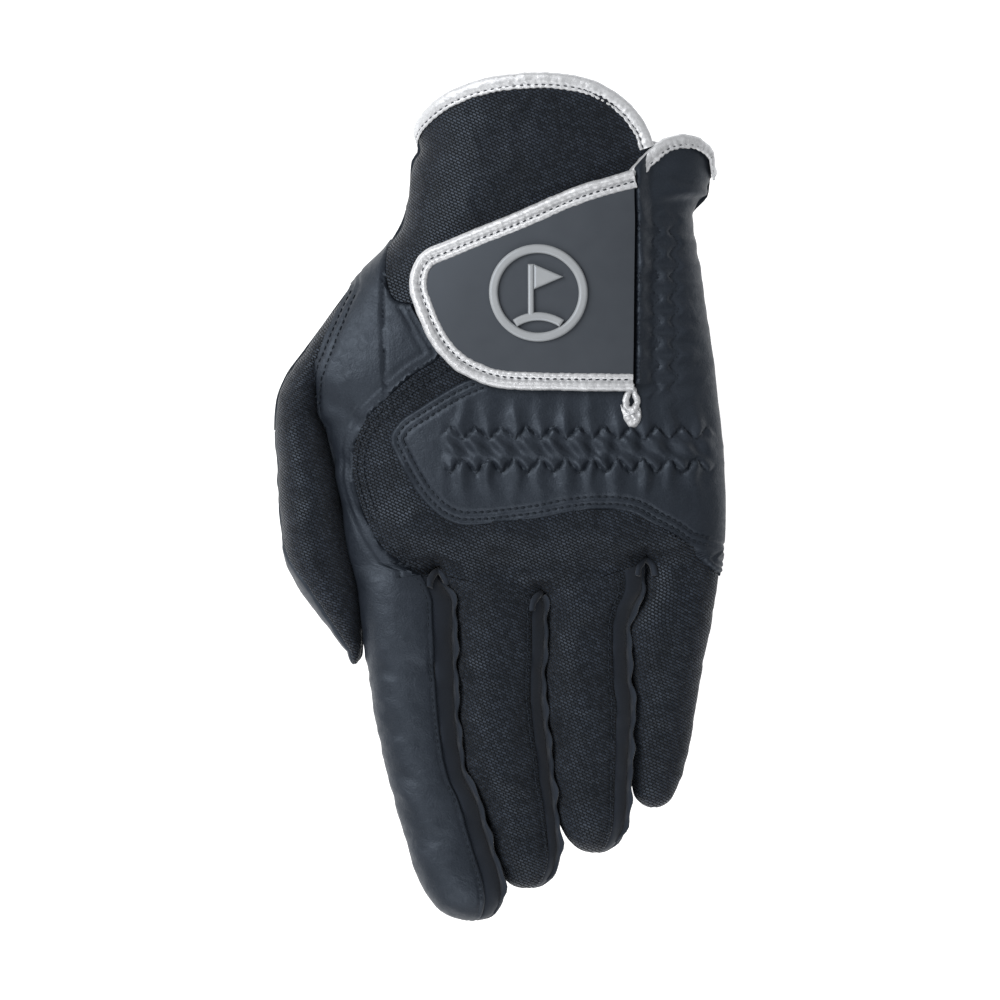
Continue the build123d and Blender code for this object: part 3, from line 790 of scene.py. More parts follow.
def knuckle_gathers(place):
    """Puffs between and beside the zigzag threads."""
    x, y = place[:, 0], place[:, 1]
    upper, lower = knuckle_thread(x, True), knuckle_thread(x, False)
    wave = 0.5 * np.cos(2 * math.pi * (x - GATHER_START + 0.9 * noise(x / 5, y / 6, 5)) / GATHER)
    within = fade(y, lower - 1.0, lower + 1.6) * fade(y, upper + 1.0, upper - 1.6)
    beside = (1 - within) * bell(np.maximum(y - 17.5, 0) + np.maximum(8.5 - y, 0), 6.5)
    puff = within * (0.8 * (0.5 + wave) + 0.25) + beside * (0.5 - wave) ** 1.5
    uneven = 1 + 0.45 * noise(x / 4.1, y / 5.3, 6)
    groove = 0.6 * (bell(y - upper, 0.6) + bell(y - lower, 0.6))
    twist = 0.35 * within * np.sin(2 * math.pi * (x + 1.3 * (y - 13)) / GATHER)
    return fade(x, -16.5, -11.0) * fade(x, 57.0, 50.0) * (puff * uneven - groove + twist)


def side_gathers(place):
    """Faint zigzag columns over the elastic in the little-finger side."""
    x, y = place[:, 0], place[:, 1]
    first, second = side_thread(y, True), side_thread(y, False)
    within = fade(x, first - 1, first + 1.5) * fade(x, second + 1, second - 1.5)
    wave = 0.5 * np.cos(2 * math.pi * y / SIDE_GATHER)
    beside = (1 - within) * bell(np.maximum(x - 47.0, 0) + np.maximum(37.6 - x, 0), 4.0)
    puff = (within * 0.75 * (0.5 + wave) + beside * 0.6 * (0.5 - wave)) * (1 + 0.5 * noise(x / 3.3, y / 3.9, 8))
    groove = 0.5 * (bell(x - first, 0.6) + bell(x - second, 0.6))
    return fade(y, 22.0, 32.0) * fade(y, 78.0, 68.0) * (puff - groove)


def leather_level(place):
    """Height of the leather where the thumb side runs on into the index finger."""
    return 0.75 + folds(place, 0.9)


def mesh_level(place):
    """Height of the mesh where the back runs on into the fingers."""
    return 0.1 + folds(place, 0.8) + knuckle_swell(place)


def side_leather(place):
    """Height of the leather on the little-finger side, the same on both of its panels."""
    return 0.75 + folds(place, 0.8) + side_gathers(place)


def patch_leather(place):
    """Height of the leather over the knuckles."""
    return side_leather(place) + 0.25 * fade(place[:, 0], 40, 30) + knuckle_gathers(place)


def stitched_edge(chart, line, rows):
    """Dimples along rows of stitching at the given distances inside an edge."""
    far = distance_to(chart, line)
    return -0.45 * sum(bell(far - row, 0.5) for row in rows)


# ---------------------------------------------------------------- the hand's panels
rim_chart, cuff_left_chart, radial_chart, lobe_chart = [
    skin.chart(round_path(points, 0.6)) for points in (RIM, CUFF_LEFT, RADIAL_EDGE, LOBE)]
patch_chart = skin.chart(np.vstack([round_path(PATCH_UPPER, 0.6), round_path(PATCH_LOWER, 0.6)]))
crotch_chart = skin.chart(even_path([(-36.6, -22.0)] + CROTCH_LINE[2:5] + [(56.6, -20.0)], 0.6))
thumb_seam_chart = skin.chart([(smooth_curve(y, PALM_LEFT), y) for y in np.arange(55.0, 17.5, -0.6)])
patch_outline = np.vstack([
    edge_line("right", [SIDE_SEAM]), straight([(54.0, SIDE_SEAM), (SLIT_RIGHT, SIDE_SEAM)]),
    straight([(SLIT_RIGHT, SIDE_SEAM), (SLIT_LEFT, 26.0), (SLIT_LEFT, 36.0), (4.0, 36.0)]), patch_chart,
    edge_line("right", np.arange(-18.6, SIDE_SEAM, 1.0))])


def cuff_panel():
    outline = np.vstack([
        rim_chart, edge_line("left", np.arange(95.0, 76.0, -1.0)), cuff_left_chart,
        straight([(-22.0, 50.7), (SLIT_LEFT, 50.7)]),
        straight([(SLIT_LEFT, 51.5), (SLIT_LEFT, 86.0), (39.0, 91.0)])])

    def rise(place, chart):
        y = place[:, 1]
        pleat = 0.45 * bell(chart[:, 0] - skin.edge(y, "left") - 2.0, 5.0)
        creases = np.sin((y - 60) * 0.42 + 1.2 * noise(y / 9, chart[:, 0] / 9, 4))
        return 0.2 + folds(place, 1.1) + pleat * creases

    return panel("cuff_panel", outline, MESH, rise, spacing=1.1)


def back_panel():
    outline = np.vstack([
        straight([(SLIT_LEFT, 51.2), (-22.0, 51.2)]), radial_chart,
        crotch_chart[crotch_chart[:, 0] > radial_chart[-1, 0] + 1], edge_line("right", [-19.5, -18.5]),
        straight([(52.0, -11.0), (44.0, -5.0), (SLIT_LEFT, 0.0)]),
        straight([(SLIT_LEFT, 1.0), (SLIT_LEFT, 50.0)])])

    def rise(place, chart):
        under_patch = inside(chart, patch_outline) & (distance_to(chart, patch_chart) > 1.0)
        return np.where(under_patch, -1.4, mesh_level(place))

    return panel("back_panel", outline, MESH, rise, spacing=0.9, plan_cloth=True)


def radial_panel():
    outline = np.vstack([
        edge_line("left", np.arange(74.0, 55.5, -1.0)), thumb_seam_chart,
        edge_line("left", np.arange(17.5, -22.0, -1.0)),
        crotch_chart[crotch_chart[:, 0] < radial_chart[-1, 0] + 0.5],
        radial_chart[::-1], cuff_left_chart[::-1]])

    def rise(place, chart):
        x, y = place[:, 0], place[:, 1]
        crease = 0.9 * np.abs(np.sin((x * 0.75 + y) * 0.23 + 0.9 * noise(x / 11, y / 11, 31))) ** 3
        near_web = bell(np.hypot(x + 42, y - 16), 13.0)
        return (leather_level(place) - crease * near_web + stitched_edge(chart, radial_chart, (1.4, 3.4))
                + stitched_edge(chart, thumb_seam_chart, (1.4, 3.6)))

    free = np.vstack([radial_chart, cuff_left_chart])
    return panel("radial_panel", outline, LEATHER, rise, spacing=0.8, free=free)


def knuckle_patch():
    def rise(place, chart):
        return patch_leather(place) + stitched_edge(chart, patch_chart, (1.9, 3.7))

    return panel("knuckle_patch", patch_outline, LEATHER, rise, spacing=0.55, free=patch_chart, edge=0.9)


def tab_cover(place):
    """How far the side leather stands off the hand where it folds over the root of the tab."""
    x, y = place[:, 0], place[:, 1]
    pucker = 0.35 * noise(x / 3, y / 1.6, 14) + 0.25 * noise(x / 5, y / 3.7, 15)
    return (2.3 + pucker * fade(x, 35.0, 36.2)) * fade(x, 39.5, 35.2) * fade(y, 26.5, 31.0)


def side_panel():
    fold = straight([(SLIT_LEFT + 0.8, 85.2), (SLIT_LEFT + 0.8, SIDE_SEAM)])
    outline = np.vstack([
        edge_line("right", [87.0]), lobe_chart[::-1], fold,
        straight([(SLIT_LEFT + 1.0, SIDE_SEAM), (54.0, SIDE_SEAM)]),
        edge_line("right", np.arange(SIDE_SEAM, 86.5, 1.0))])

    def rise(place, chart):
        x, y = place[:, 0], place[:, 1]
        lobe_fold = 1.3 * bell((y - 77.5) - 0.12 * (x - 48), 1.6) * fade(x, 37, 48)
        second = 0.7 * bell((y - 82.5) + 0.15 * (x - 48), 1.3) * fade(x, 40, 50)
        return side_leather(place) - lobe_fold - second + tab_cover(place)

    return panel("side_panel", outline, LEATHER, rise, spacing=0.7, free=fold, edge=1.0, under=tab_cover)


def palm_rim(share):
    """The palm side's edge at the wrist; share runs from the little-finger side to the thumb side."""
    return 95.0 - 7.5 * fade(share, 0.3, 0.0)


def loop_length(y):
    """The length all round the hand."""
    return 2 * np.interp(y, skin.rows, skin.half_loop)


def palm_place(share, y):
    """Places across the palm side."""
    right = skin.edge(y, "right")
    return right + share * (loop_length(y) + skin.edge(y, "left") - right)


def palm_panel():
    """The palm side, from the cuff to the finger stalls, in two stretches that meet at the thumb."""
    share = np.linspace(0, 1, 120)
    rim = palm_rim(share)
    parts = []
    for part, (high, low) in enumerate([(rim, THUMB_WEB + 0.2), (THUMB_WEB - 0.6, MOUTH)]):
        down = np.linspace(0, 1, int((np.max(high) - low) / 1.1))[:, None]
        y = high + (low - high) * down + 0 * share
        t = palm_place(share, y)
        if part == 1:
            x = skin.at(np.stack([t, y], axis=2))[0][..., 0]
            y = between(high, crotch_at(x), down)
        chart = np.stack([t, y], axis=2)
        place, normal = skin.at(chart, THUMB_WEB + 0.8 if part == 0 else -REACH)
        wrist = fade(place[..., 1], 74, 78) * fade(place[..., 1], 90, 86)
        gathers = 0.7 * wrist * np.sin(2 * math.pi * place[..., 0] / 5.2)
        height = 0.55 + 0.25 * folds(place) + gathers * fade(place[..., 2], 12, 4)
        resting = place[..., 2] < 1.0
        height = np.where(resting, np.minimum(height, 0.0) + np.minimum(gathers, 0), height)
        outer = place + normal * height[..., None]
        outer[..., 2] = np.maximum(outer[..., 2], fade(y, rim - 4.5, rim - 3.0))
        inner = place + normal * (np.minimum(height, 0.2) - 0.9)[..., None]
        for surface in (outer, inner):
            surface[0, :, 1] += 0.8 * part
        parts.append(shell_grid("palm_%d" % part, outer, inner, chart, LEATHER))
    return join(parts, "palm_panel")


# ---------------------------------------------------------------- finger and thumb stalls
EVEN_ROWS = -46.0           # from here on a stall's rows lie straight across it
THUMB_COLUMNS = 70
TIPWARD = np.array([0.0, -1.0, 0.0])


def rounded_end(cap, tip, count):
    """Levels of y through a stall's rounded end, closer together at its tip."""
    return cap + (tip - cap) * np.sin(np.linspace(0, math.pi / 2, count)[1:])


def section_point(station, close, angles, power):
    """x and z round a stall's section at the given angles; close shrinks it towards the tip."""
    left, right, centre, half = station
    cos, sin = np.cos(angles)[None, :], np.sin(angles)[None, :]
    x = (left + right) / 2 + close * (right - left) / 2 * np.sign(cos) * np.abs(cos) ** power
    return x, centre + close * half * np.sign(sin) * np.abs(sin) ** power


def digit_grid(name, angles):
    """Points of a stall's outer surface: rows from mouth to tip, columns round the section."""
    digit = DIGITS[name]
    cap, tip, blunt = digit["cap"], digit["tip"], digit["blunt"]
    levels = np.concatenate([np.arange(MOUTH, cap, -0.75), rounded_end(cap, tip, 15)])
    left, right, _, _ = digit_station(name, MOUTH)
    mouth_y = crotch_at((left + right) / 2 + (right - left) / 2 * np.cos(angles))
    share = np.clip((levels - MOUTH) / (EVEN_ROWS - MOUTH), 0, 1)[:, None]
    y = np.where(share < 1, between(mouth_y, EVEN_ROWS, share), levels[:, None])
    close = (1 - np.clip((cap - y) / (cap - tip), 0, 1) ** blunt) ** (1 / blunt)
    x, z = section_point(digit_station(name, y), close, angles, 2 / DIGIT_SQUARE)
    return np.stack([x, y, z], axis=2)


def digit_surface(name, angles):
    """Grid, outward normals and cloth coordinates of part of a stall."""
    grid = digit_grid(name, angles)
    around = digit_grid(name, np.concatenate([[angles[0] - 0.05], angles, [angles[-1] + 0.05]]))
    normals = grid_normals(around)[:, 1:-1]
    normals[-1] = TIPWARD
    dense = np.linspace(-math.pi, 2.2 * math.pi, 260)
    arc = [np.interp(angles, dense, run) - np.interp(math.pi / 2, dense, run)
           for run in run_along(digit_grid(name, dense))]
    left, right, _, _ = digit_station(name, MOUTH)
    return grid, normals, np.stack([(left + right) / 2 - np.array(arc), grid[..., 1]], axis=2)


def stall_shell(name, surface, height, material, tip, inset, taper_start, taper_stop, least):
    """One strip of a stall as a thick sheet, which grows thin and low before the tip."""
    grid, normals, cloth = surface
    taper = fade(grid[..., 1], tip + taper_start, tip + taper_stop)
    outer = grid + normals * (height * between(least, 1.0, taper))[..., None]
    outer[..., 2] = np.maximum(outer[..., 2], 0.05)
    inner = grid - normals * (0.8 * taper)[..., None]
    inner[..., 1] = np.maximum(inner[..., 1], tip + inset)
    return shell_grid(name, outer, inner, cloth, material, weld=True)


def sector(name, piece_name, start, stop, material, lift, wrinkle, seed):
    """One sewn strip of a finger stall between two angles in degrees."""
    angles = np.radians(np.linspace(start, stop, max(8, int(abs(stop - start) * 0.42))))
    grid, normals, cloth = digit_surface(name, angles)
    arc, y = cloth[..., 0], grid[..., 1]
    height = lift + wrinkle * fractal(arc / 11, y / 5.5, seed, 3) * fade(y, MOUTH + 1, MOUTH - 7)
    height = height + 0.3 * wrinkle * fractal(arc / 4, y / 3, seed + 9, 2)
    is_back = piece_name.endswith("back")
    for far in (np.abs(arc - arc[:, :1]), np.abs(arc - arc[:, -1:])):
        height = height - (lift + 0.25) * soft_edge(far, 0.7)
        if material is LEATHER or is_back:
            height = height - 0.22 * bell(far - 1.6, 0.4)
    if is_back:
        level = leather_level(grid) if material is LEATHER else mesh_level(grid)
        height = between(height, level, fade(grid[:1, :, 1] - y, 13.0, 0.0))
    surface = grid, normals, cloth
    return stall_shell(piece_name, surface, height, material, DIGITS[name]["tip"], 0.8, 0.2, 3.0, 0.35)


def seam_row(name, piece_name, angle, height):
    """A row of stitching along a stall at one angle."""
    grid, normals, _ = digit_surface(name, np.radians([angle - 0.5, angle, angle + 0.5]))
    keep = grid[:, 1, 1] > DIGITS[name]["tip"] + 4.0
    return stitches(piece_name, grid[keep, 1] + normals[keep, 1] * height, normals[keep, 1])


def seam_lip(name, piece_name, angle, seed):
    """The thin wavy edge that stands out where a fourchette is sewn to the front of its finger."""
    grid, normals, _ = digit_surface(name, np.radians([angle - 2, angle, angle + 2]))
    tip = DIGITS[name]["tip"]
    keep = grid[:, 1, 1] > tip + 2.0
    base = grid[keep, 1]
    out = unit(0.8 * normals[keep, 1] + np.array([0, 0, 1.1]))
    side = unit(np.cross(np.gradient(base, axis=0), out))
    y = base[:, 1]
    reach = 2.0 + 0.5 * np.sin(y * 0.5 + seed) + 0.5 * noise(y / 5, y * 0 + seed, seed)
    reach = reach * fade(y, tip + 2.0, tip + 8.0) * fade(y, -20.0, -26.0) + 0.2
    lean = 0.3 * np.sin(y * 0.9 + 2 * seed)
    profile = [(-0.35, -0.6), (-0.42, 0.5), (-0.3, 0.92), (0.0, 1.0), (0.3, 0.92), (0.42, 0.5), (0.35, -0.6)]
    rings = np.stack([base + side * (across + lean * max(up, 0))[:, None]
                      + out * (up * np.where(up > 0, reach, 1.0))[:, None] for across, up in profile], axis=1)
    u, v = np.meshgrid(np.arange(len(profile)) * 0.5, y)
    return tube(piece_name, rings, np.stack([u, v], axis=2), FOURCHETTE)


def crotch_arch(name, x, y):
    """The rolled, rounded top of the strip between two stalls."""
    plan = [(x - 2.3, y - 3.6), (x - 1.9, y - 1.2), (x, y + 0.9), (x + 1.9, y - 1.2), (x + 2.3, y - 3.6)]
    path, normals = on_skin(skin.chart(round_path(plan, 0.3)), 0.15)
    return sweep(name, path, normals, ellipse(0.95, 0.75, 14), FOURCHETTE, crumple=0.12, seed=17)


# Strips of each stall: piece, start and stop in degrees round its section (0 is the little-finger side,
# 90 the back), material, lift, wrinkle
STALLS = {
    "index": [("index_back", 60, 205, LEATHER, 0.65, 0.32),
              ("index_fourchette_ulnar", 10, 60, FOURCHETTE, 0.0, 0.25),
              ("index_front", 205, 370, LEATHER, 0.5, 0.25)],
    "middle": [("middle_back", 48, 172, MESH, 0.25, 0.3),
               ("middle_fourchette_ulnar", 10, 48, FOURCHETTE, -0.1, 0.25),
               ("middle_fourchette_radial", 172, 214, FOURCHETTE, -0.1, 0.2),
               ("middle_front", 214, 370, LEATHER, 0.5, 0.25)],
    "ring": [("ring_back", 54, 172, MESH, 0.25, 0.3),
             ("ring_fourchette_ulnar", 10, 54, FOURCHETTE, -0.1, 0.25),
             ("ring_fourchette_radial", 172, 214, FOURCHETTE, -0.1, 0.2),
             ("ring_front", 214, 370, LEATHER, 0.5, 0.25)],
    "little": [("little_back", -12, 170, MESH, 0.2, 0.3),
               ("little_fourchette_radial", 170, 214, FOURCHETTE, -0.1, 0.2),
               ("little_front", 214, 348, LEATHER, 0.5, 0.25)],
}
SEAM_ANGLES = {"index": 68.5, "middle": 56.5, "ring": 62.5}      # the stitching on the backs


def bend_with(piece, name, *cad_nodes):
    """Hides the piece's CAD nodes and fixes its placement into its mesh."""
    if cad_nodes:
        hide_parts(*cad_nodes)
    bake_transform(piece)


def build_fingers():
    for seed, (name, strips) in enumerate(STALLS.items()):
        for number, (piece_name, start, stop, material, lift, wrinkle) in enumerate(strips):
            piece = sector(name, piece_name, start, stop, material, lift, wrinkle, 40 + 7 * seed + number)
            bend_with(piece, name, piece_name)
        if name in SEAM_ANGLES:
            bend_with(seam_lip(name, name + "_seam_edge", 20, seed + 1), name)
            lift = 0.62 if name == "index" else 0.25
            bend_with(seam_row(name, name + "_stitching", SEAM_ANGLES[name], lift), name)


def thumb_grid(angles):
    """Points of the thumb stall: rows from the web to the tip, columns round its section."""
    levels = np.concatenate([np.arange(THUMB_WEB, THUMB_CAP, -0.8), rounded_end(THUMB_CAP, THUMB_TIP, 10)])
    y = np.repeat(levels[:, None], len(angles), axis=1)
    close = np.sqrt(np.clip(1 - np.clip((THUMB_CAP - y) / (THUMB_CAP - THUMB_TIP), 0, 1) ** 2.2, 0, 1))
    x, z = section_point(thumb_station(y), close, angles, 0.95)
    return np.stack([x, y, z], axis=2)


def thumb_sector(piece_name, start, stop, material, lift, wrinkle, seed):
    """One panel of the thumb. start and stop are degrees, or an array with one value for each row."""
    dense = np.linspace(-0.6, 2 * math.pi + 0.6, 240)
    full = thumb_grid(dense)
    normals, run = grid_normals(full), run_along(full)
    normals[-1] = TIPWARD
    field = np.concatenate([full, normals, run[..., None]], axis=2)
    share = np.linspace(0, 1, THUMB_COLUMNS)
    angles = np.radians(between(np.atleast_2d(start).T, np.atleast_2d(stop).T, share))
    looked = np.stack([[np.interp(places, dense, row[:, k]) for places, row in zip(angles, field)]
                       for k in range(field.shape[2])], axis=2)
    back = np.array([[np.interp(math.pi / 2, dense, row)] for row in run])
    grid, arc = looked[..., :3], back - looked[..., 6] - 60.0
    y = grid[..., 1]
    height = lift + wrinkle * fractal(arc / 9, y / 5, seed, 3) * fade(y, THUMB_WEB, THUMB_WEB - 8.0)
    for far in (np.abs(arc - arc[:, :1]), np.abs(arc - arc[:, -1:])):
        height = height - (lift + 0.2) * soft_edge(far, 0.7)
    surface = grid, looked[..., 3:6], np.stack([arc, y], axis=2)
    return stall_shell(piece_name, surface, height, material, THUMB_TIP, 0.7, 0.1, 2.5, 0.3)


def thumb_root():
    """The mesh of the thumb's back where it runs on over the hand, from the thumb's seam outwards."""
    chart = np.array([[(t, y) for t in np.linspace(skin.chart([(smooth_curve(y, PALM_LEFT), y)])[0, 0],
                                                   skin.edge(y, "left"), 60)]
                      for y in np.arange(THUMB_WEB, 55.0, 0.8)[::-1]])
    place, normal = skin.at(chart, THUMB_WEB + 0.8)
    y = chart[..., 1]
    height = 0.2 + 0.3 * fractal(chart[..., 0] / 9, y / 6, 71, 3) * fade(y, THUMB_WEB, 30.0)
    return shell_grid("thumb_root", place + normal * height[..., None], place - normal * 0.8, chart, MESH)


def build_thumb():
    levels = thumb_grid(np.zeros(1))[:, 0, 1]
    left_seam = 178 - 48 * fade(levels, -6.0, -24.0)
    front = thumb_sector("thumb_front", left_seam, 364.0, LEATHER, 0.45, 0.25, 77)
    back = thumb_sector("thumb_back", 4.0, left_seam, MESH, 0.2, 0.3, 71)
    for piece, cad_node in ((front, "thumb_front"), (join([back, thumb_root()], "thumb_back"), "thumb_back")):
        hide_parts(cad_node)
        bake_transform(piece)


# ---------------------------------------------------------------- bindings, closure and small pieces
def bound_edge(name, path, normals, profile, lift, into, **look):
    """Silver tape along an edge, and its row of stitching, lift up and into millimetres inwards."""
    band = sweep(name + "_binding", path, normals, profile, SILVER, pucker=0.3, **look)
    lifted = path + normals * lift
    line = lifted + frames(lifted, normals)[1] * into
    return band, stitches(name + "_stitching", line, normals, pitch=1.9, length=1.2, radius=0.17)


def cuff_binding():
    """Silver tape folded over the cuff's edge, all round the wrist."""
    share = np.linspace(0.95, -0.015, 80)
    rim = palm_rim(share)
    under = np.column_stack([palm_place(share, rim) - loop_length(rim), rim])
    path, normals = on_skin(even_path(np.vstack([rim_chart, under]), 0.45), 0.1)
    path[:, 2] = np.maximum(path[:, 2], 1.3)
    profile = [(3.7, 0.1), (3.55, 0.55), (3.1, 0.62), (2.75, 0.42), (2.4, 0.75), (1.6, 1.0), (0.7, 1.0),
               (-0.1, 0.75), (-0.5, 0.1), (-0.5, -0.8), (-0.1, -1.3), (1.5, -1.5), (3.5, -1.4),
               (3.6, -0.9), (0.6, -0.7), (0.4, -0.1)]
    return bound_edge("cuff", path, normals, profile, 0.45, 2.75, crumple=0.1, seed=3, sewn=2.9)


def side_binding():
    """The same round the side lobe."""
    corner = lobe_chart[-1:] + [2.0, -0.3]
    line = even_path(np.vstack([corner, lobe_chart[::-1], skin.chart([(33.5, 84.9)])]), 0.45)
    profile = [(3.5, 0.3), (3.3, 0.9), (2.6, 0.8), (1.8, 1.2), (0.8, 1.2), (0.0, 0.9), (-0.4, 0.1),
               (-0.3, -0.9), (0.3, -1.4), (2.0, -1.5), (3.4, -1.3), (3.4, -0.9), (0.6, -0.7), (0.4, 0.0)]
    return bound_edge("side", *on_skin(line, 0.8), profile, 0.65, 2.6, crumple=0.14, seed=8, sewn=2.8)


def slit_binding():
    """Tape on both edges of the wrist slit."""
    profile = [(2.6, 0.0), (2.3, 0.4), (1.2, 0.55), (0.3, 0.5), (0.0, 0.1), (0.0, -0.8), (0.4, -1.1),
               (2.4, -1.0), (2.4, -0.7), (0.5, -0.5), (0.5, -0.1)]
    bands = []
    for k, (x, first, last) in enumerate(((SLIT_LEFT, 28.0, 80.0), (SLIT_RIGHT, 80.0, 28.0))):
        path, normals = on_skin(even_path(straight([(x, first), (x, last)]), 0.6), 0.2)
        bands.append(sweep("slit_tape_%d" % k, path, normals, profile, SILVER, crumple=0.12, seed=12 + k))
    return join(bands, "slit_binding")


def slit_loop():
    """The end of the slit's tape: a small loop over a crumpled, rounded lump."""
    turn = np.linspace(0, 2 * math.pi, 90)
    x, y = 33.6 + 2.5 * np.sin(turn) * np.sin(turn / 2) ** 1.2, 30.3 - 3.7 * (1 - np.cos(turn))
    path, normals = on_skin(skin.chart(even_path(np.column_stack([x, y]), 0.3)), 1.9)
    loop = sweep("slit_ring", path[::-1], normals[::-1], ellipse(0.8, 0.8, 16, 0.4), SILVER, crumple=0.3,
                 seed=21, closed=True)
    lump = [(30.9, 25.0), (30.8, 22.9), (31.7, 20.6), (33.3, 18.9), (34.9, 18.8), (36.2, 20.4), (36.4, 22.4),
            (35.9, 24.2), (34.6, 23.6), (33.2, 23.0), (32.0, 24.0)]
    edge = skin.chart(round_path(lump, 0.25, closed=True))

    def rise(place, chart):
        creased = 1 - np.abs(fractal(place[:, 0] / 1.7 + place[:, 1] / 5, place[:, 1] / 1.5, 29, 3))
        return 1 - soft_edge(distance_to(chart, edge), 2.4) + 0.75 * creased ** 2

    body = panel("slit_lump", edge, SILVER, rise, thickness=0.3, spacing=0.3, base=1.3, free=edge, edge=0.7)
    return join([loop, body], "slit_loop")


TAB_HEIGHT = 1.9           # underside of the closure tab over the back of the hand
TAB_FACE = 3.1             # its upper face at the piping
EMBLEM_CENTRE = (9.8, 53.5)
EMBLEM_RADIUS = 12.5
tab_chart = skin.chart(round_path(TAB_OUTER, 0.4))


def tab_rise(place, chart):
    """The tab's upper face: nearly flat, a little crowned, soft at its piping."""
    far = distance_to(chart, tab_chart)
    return 0.35 * fade(far, 3.0, 14.0) + 0.12 * fractal(place[:, 0] / 14, place[:, 1] / 14, 51, 2)


def tab_panel():
    inner = shifted(tab_chart, 3.2)
    outline = inner[inner[:, 0] < skin.chart([(TAB_FOLD_X, 57.0)])[0, 0]]
    return panel("tab_panel", outline, RUBBER, tab_rise, thickness=0.7, spacing=0.9, base=TAB_FACE)


def tab_backing():
    """Thin leather under the tab, which runs on past the fold and is sewn down beside the slit."""
    outline = np.vstack([shifted(tab_chart, 2.2), straight([(37.5, 30.5), (37.5, 83.5)])])

    def rise(place, chart):
        return -1.6 * fade(place[:, 0], 31.5, 35.5)

    return panel("tab_backing", outline, SUEDE, rise, thickness=0.5, base=TAB_HEIGHT + 0.4)


def tab_piping():
    """The silver edge of the tab: a fat soft roll, a row of dark stitches, and a thin lip."""
    path, normals = on_skin(tab_chart, TAB_HEIGHT)
    profile = [(0.6, -0.1), (0.05, 0.45), (-0.05, 1.15), (0.35, 1.85), (1.2, 2.2), (2.1, 1.95), (2.75, 1.35),
               (3.05, 1.2), (3.3, 1.5), (3.8, 1.72), (4.35, 1.55), (4.7, 1.1), (4.6, 0.4), (2.6, 0.0)]
    band = sweep("tab_piping", path, normals, profile, SILVER, crumple=0.1, seed=31, pucker=0.35, sewn=3.1)
    line = path + frames(path, normals)[1] * 3.02 + normals * 1.3
    return band, stitches("tab_stitching", line, normals, pitch=1.85, radius=0.22)


def tape_patch(name, height, thickness, margin):
    """Hook or loop tape with rounded corners, under the tab."""
    corner = 2.5
    left, right, low, high = [side + sign * (margin + corner)
                              for side, sign in ((-15.5, 1), (12.5, -1), (37.0, 1), (62.5, -1))]
    outline = []
    for x, y, turn in ((right, high, 0), (left, high, 90), (left, low, 180), (right, low, 270)):
        outline += arc((x, y), corner, turn, turn + 90, 15)

    def rise(place, chart):
        return 0.12 * noise(place[:, 0] * 2, place[:, 1] * 2, 61)

    return panel(name, skin.chart(outline), PILE, rise, thickness=thickness, spacing=0.8, base=height)


def arc(centre, radius, start, stop, step):
    """Points of an arc in the plan, between two angles in degrees."""
    angles = np.radians(np.arange(start, stop + 0.1, step))
    return [(centre[0] + radius * math.cos(a), centre[1] + radius * math.sin(a)) for a in angles]


def raised_shape(name, outline, height=1.3, bevel=0.55):
    """A flat raised shape with bevelled edges that follows the tab, from a closed plan outline."""
    outline = anticlockwise(np.array(outline, float))
    sides = unit(np.roll(outline, -1, axis=0) - outline)
    after = np.column_stack([-sides[:, 1], sides[:, 0]])
    before = np.roll(after, 1, axis=0)
    bisect = before + after
    bisect /= np.maximum(np.sum(bisect * before, axis=1, keepdims=True), 0.35)
    shoulder = height - bevel
    rings = []
    for inset, lift in ((0.0, -0.4), (0.0, shoulder), (bevel * 0.35, height - bevel * 0.3), (bevel, height)):
        chart = skin.chart(outline + bisect * inset)
        place, normal = skin.at(chart)
        rings.append(place + normal * (TAB_FACE + tab_rise(place, chart) + lift)[:, None])
    part = tube(name, np.array(rings), np.tile(outline, (len(rings), 1)), EMBLEM)
    part.data.polygons.foreach_set("use_smooth", np.zeros(len(part.data.polygons), bool))
    return part


def tab_emblem():
    """A plain ring round a generic flag on a green."""
    cx, cy = EMBLEM_CENTRE
    circle = skin.chart(arc(EMBLEM_CENTRE, EMBLEM_RADIUS, 0, 360, 3))
    profile = [(0.0, -0.4), (0.0, 0.75), (0.22, 1.12), (0.6, 1.3), (1.7, 1.3), (2.08, 1.12), (2.3, 0.75),
               (2.3, -0.4)]
    ring = sweep("emblem_ring", *on_skin(circle, TAB_FACE + 0.3), profile, EMBLEM, closed=True)
    pole = [(cx - 2.6, cy - 6.2), (cx - 1.1, cy - 6.2), (cx - 1.1, cy + 7.4), (cx - 2.6, cy + 7.4)]
    flag = [(cx - 1.1, cy + 7.4), (cx - 1.1, cy + 0.8), (cx + 6.4, cy + 4.1)]
    green = arc((cx, cy - 17.0), 12.0, 57, 123, 6) + arc((cx, cy - 17.0), 9.9, 57, 123, 6)[::-1]
    parts = [raised_shape("emblem_%d" % k, shape) for k, shape in enumerate((pole, flag, green))]
    return join([ring] + parts, "tab_emblem")


def elastic_strips():
    """Elastic tapes sewn inside the shell."""
    half = np.interp(82.0, skin.rows, skin.half_loop)
    wrist = np.column_stack([np.linspace(half - 30, half + 30, 110), np.full(110, 82.0)])
    profile = [(-3.6, 0.0), (3.6, 0.0), (3.6, -0.7), (-3.6, -0.7)]
    tapes = [(name, even_path(skin.chart(even_path(points, 1.0)), 0.8), -1.4, 0.12, 5)
             for name, points in (("knuckle_elastic", [(-15.0, 13.2), (50.0, 13.2)]),
                                  ("side_elastic", [(42.4, 27.0), (42.4, 72.0)]))]
    return [sweep(name, *on_skin(line, height), profile, ELASTIC, crumple=crumple, seed=seed)
            for name, line, height, crumple, seed in tapes + [("wrist_elastic", wrist, -1.5, 0.15, 6)]]


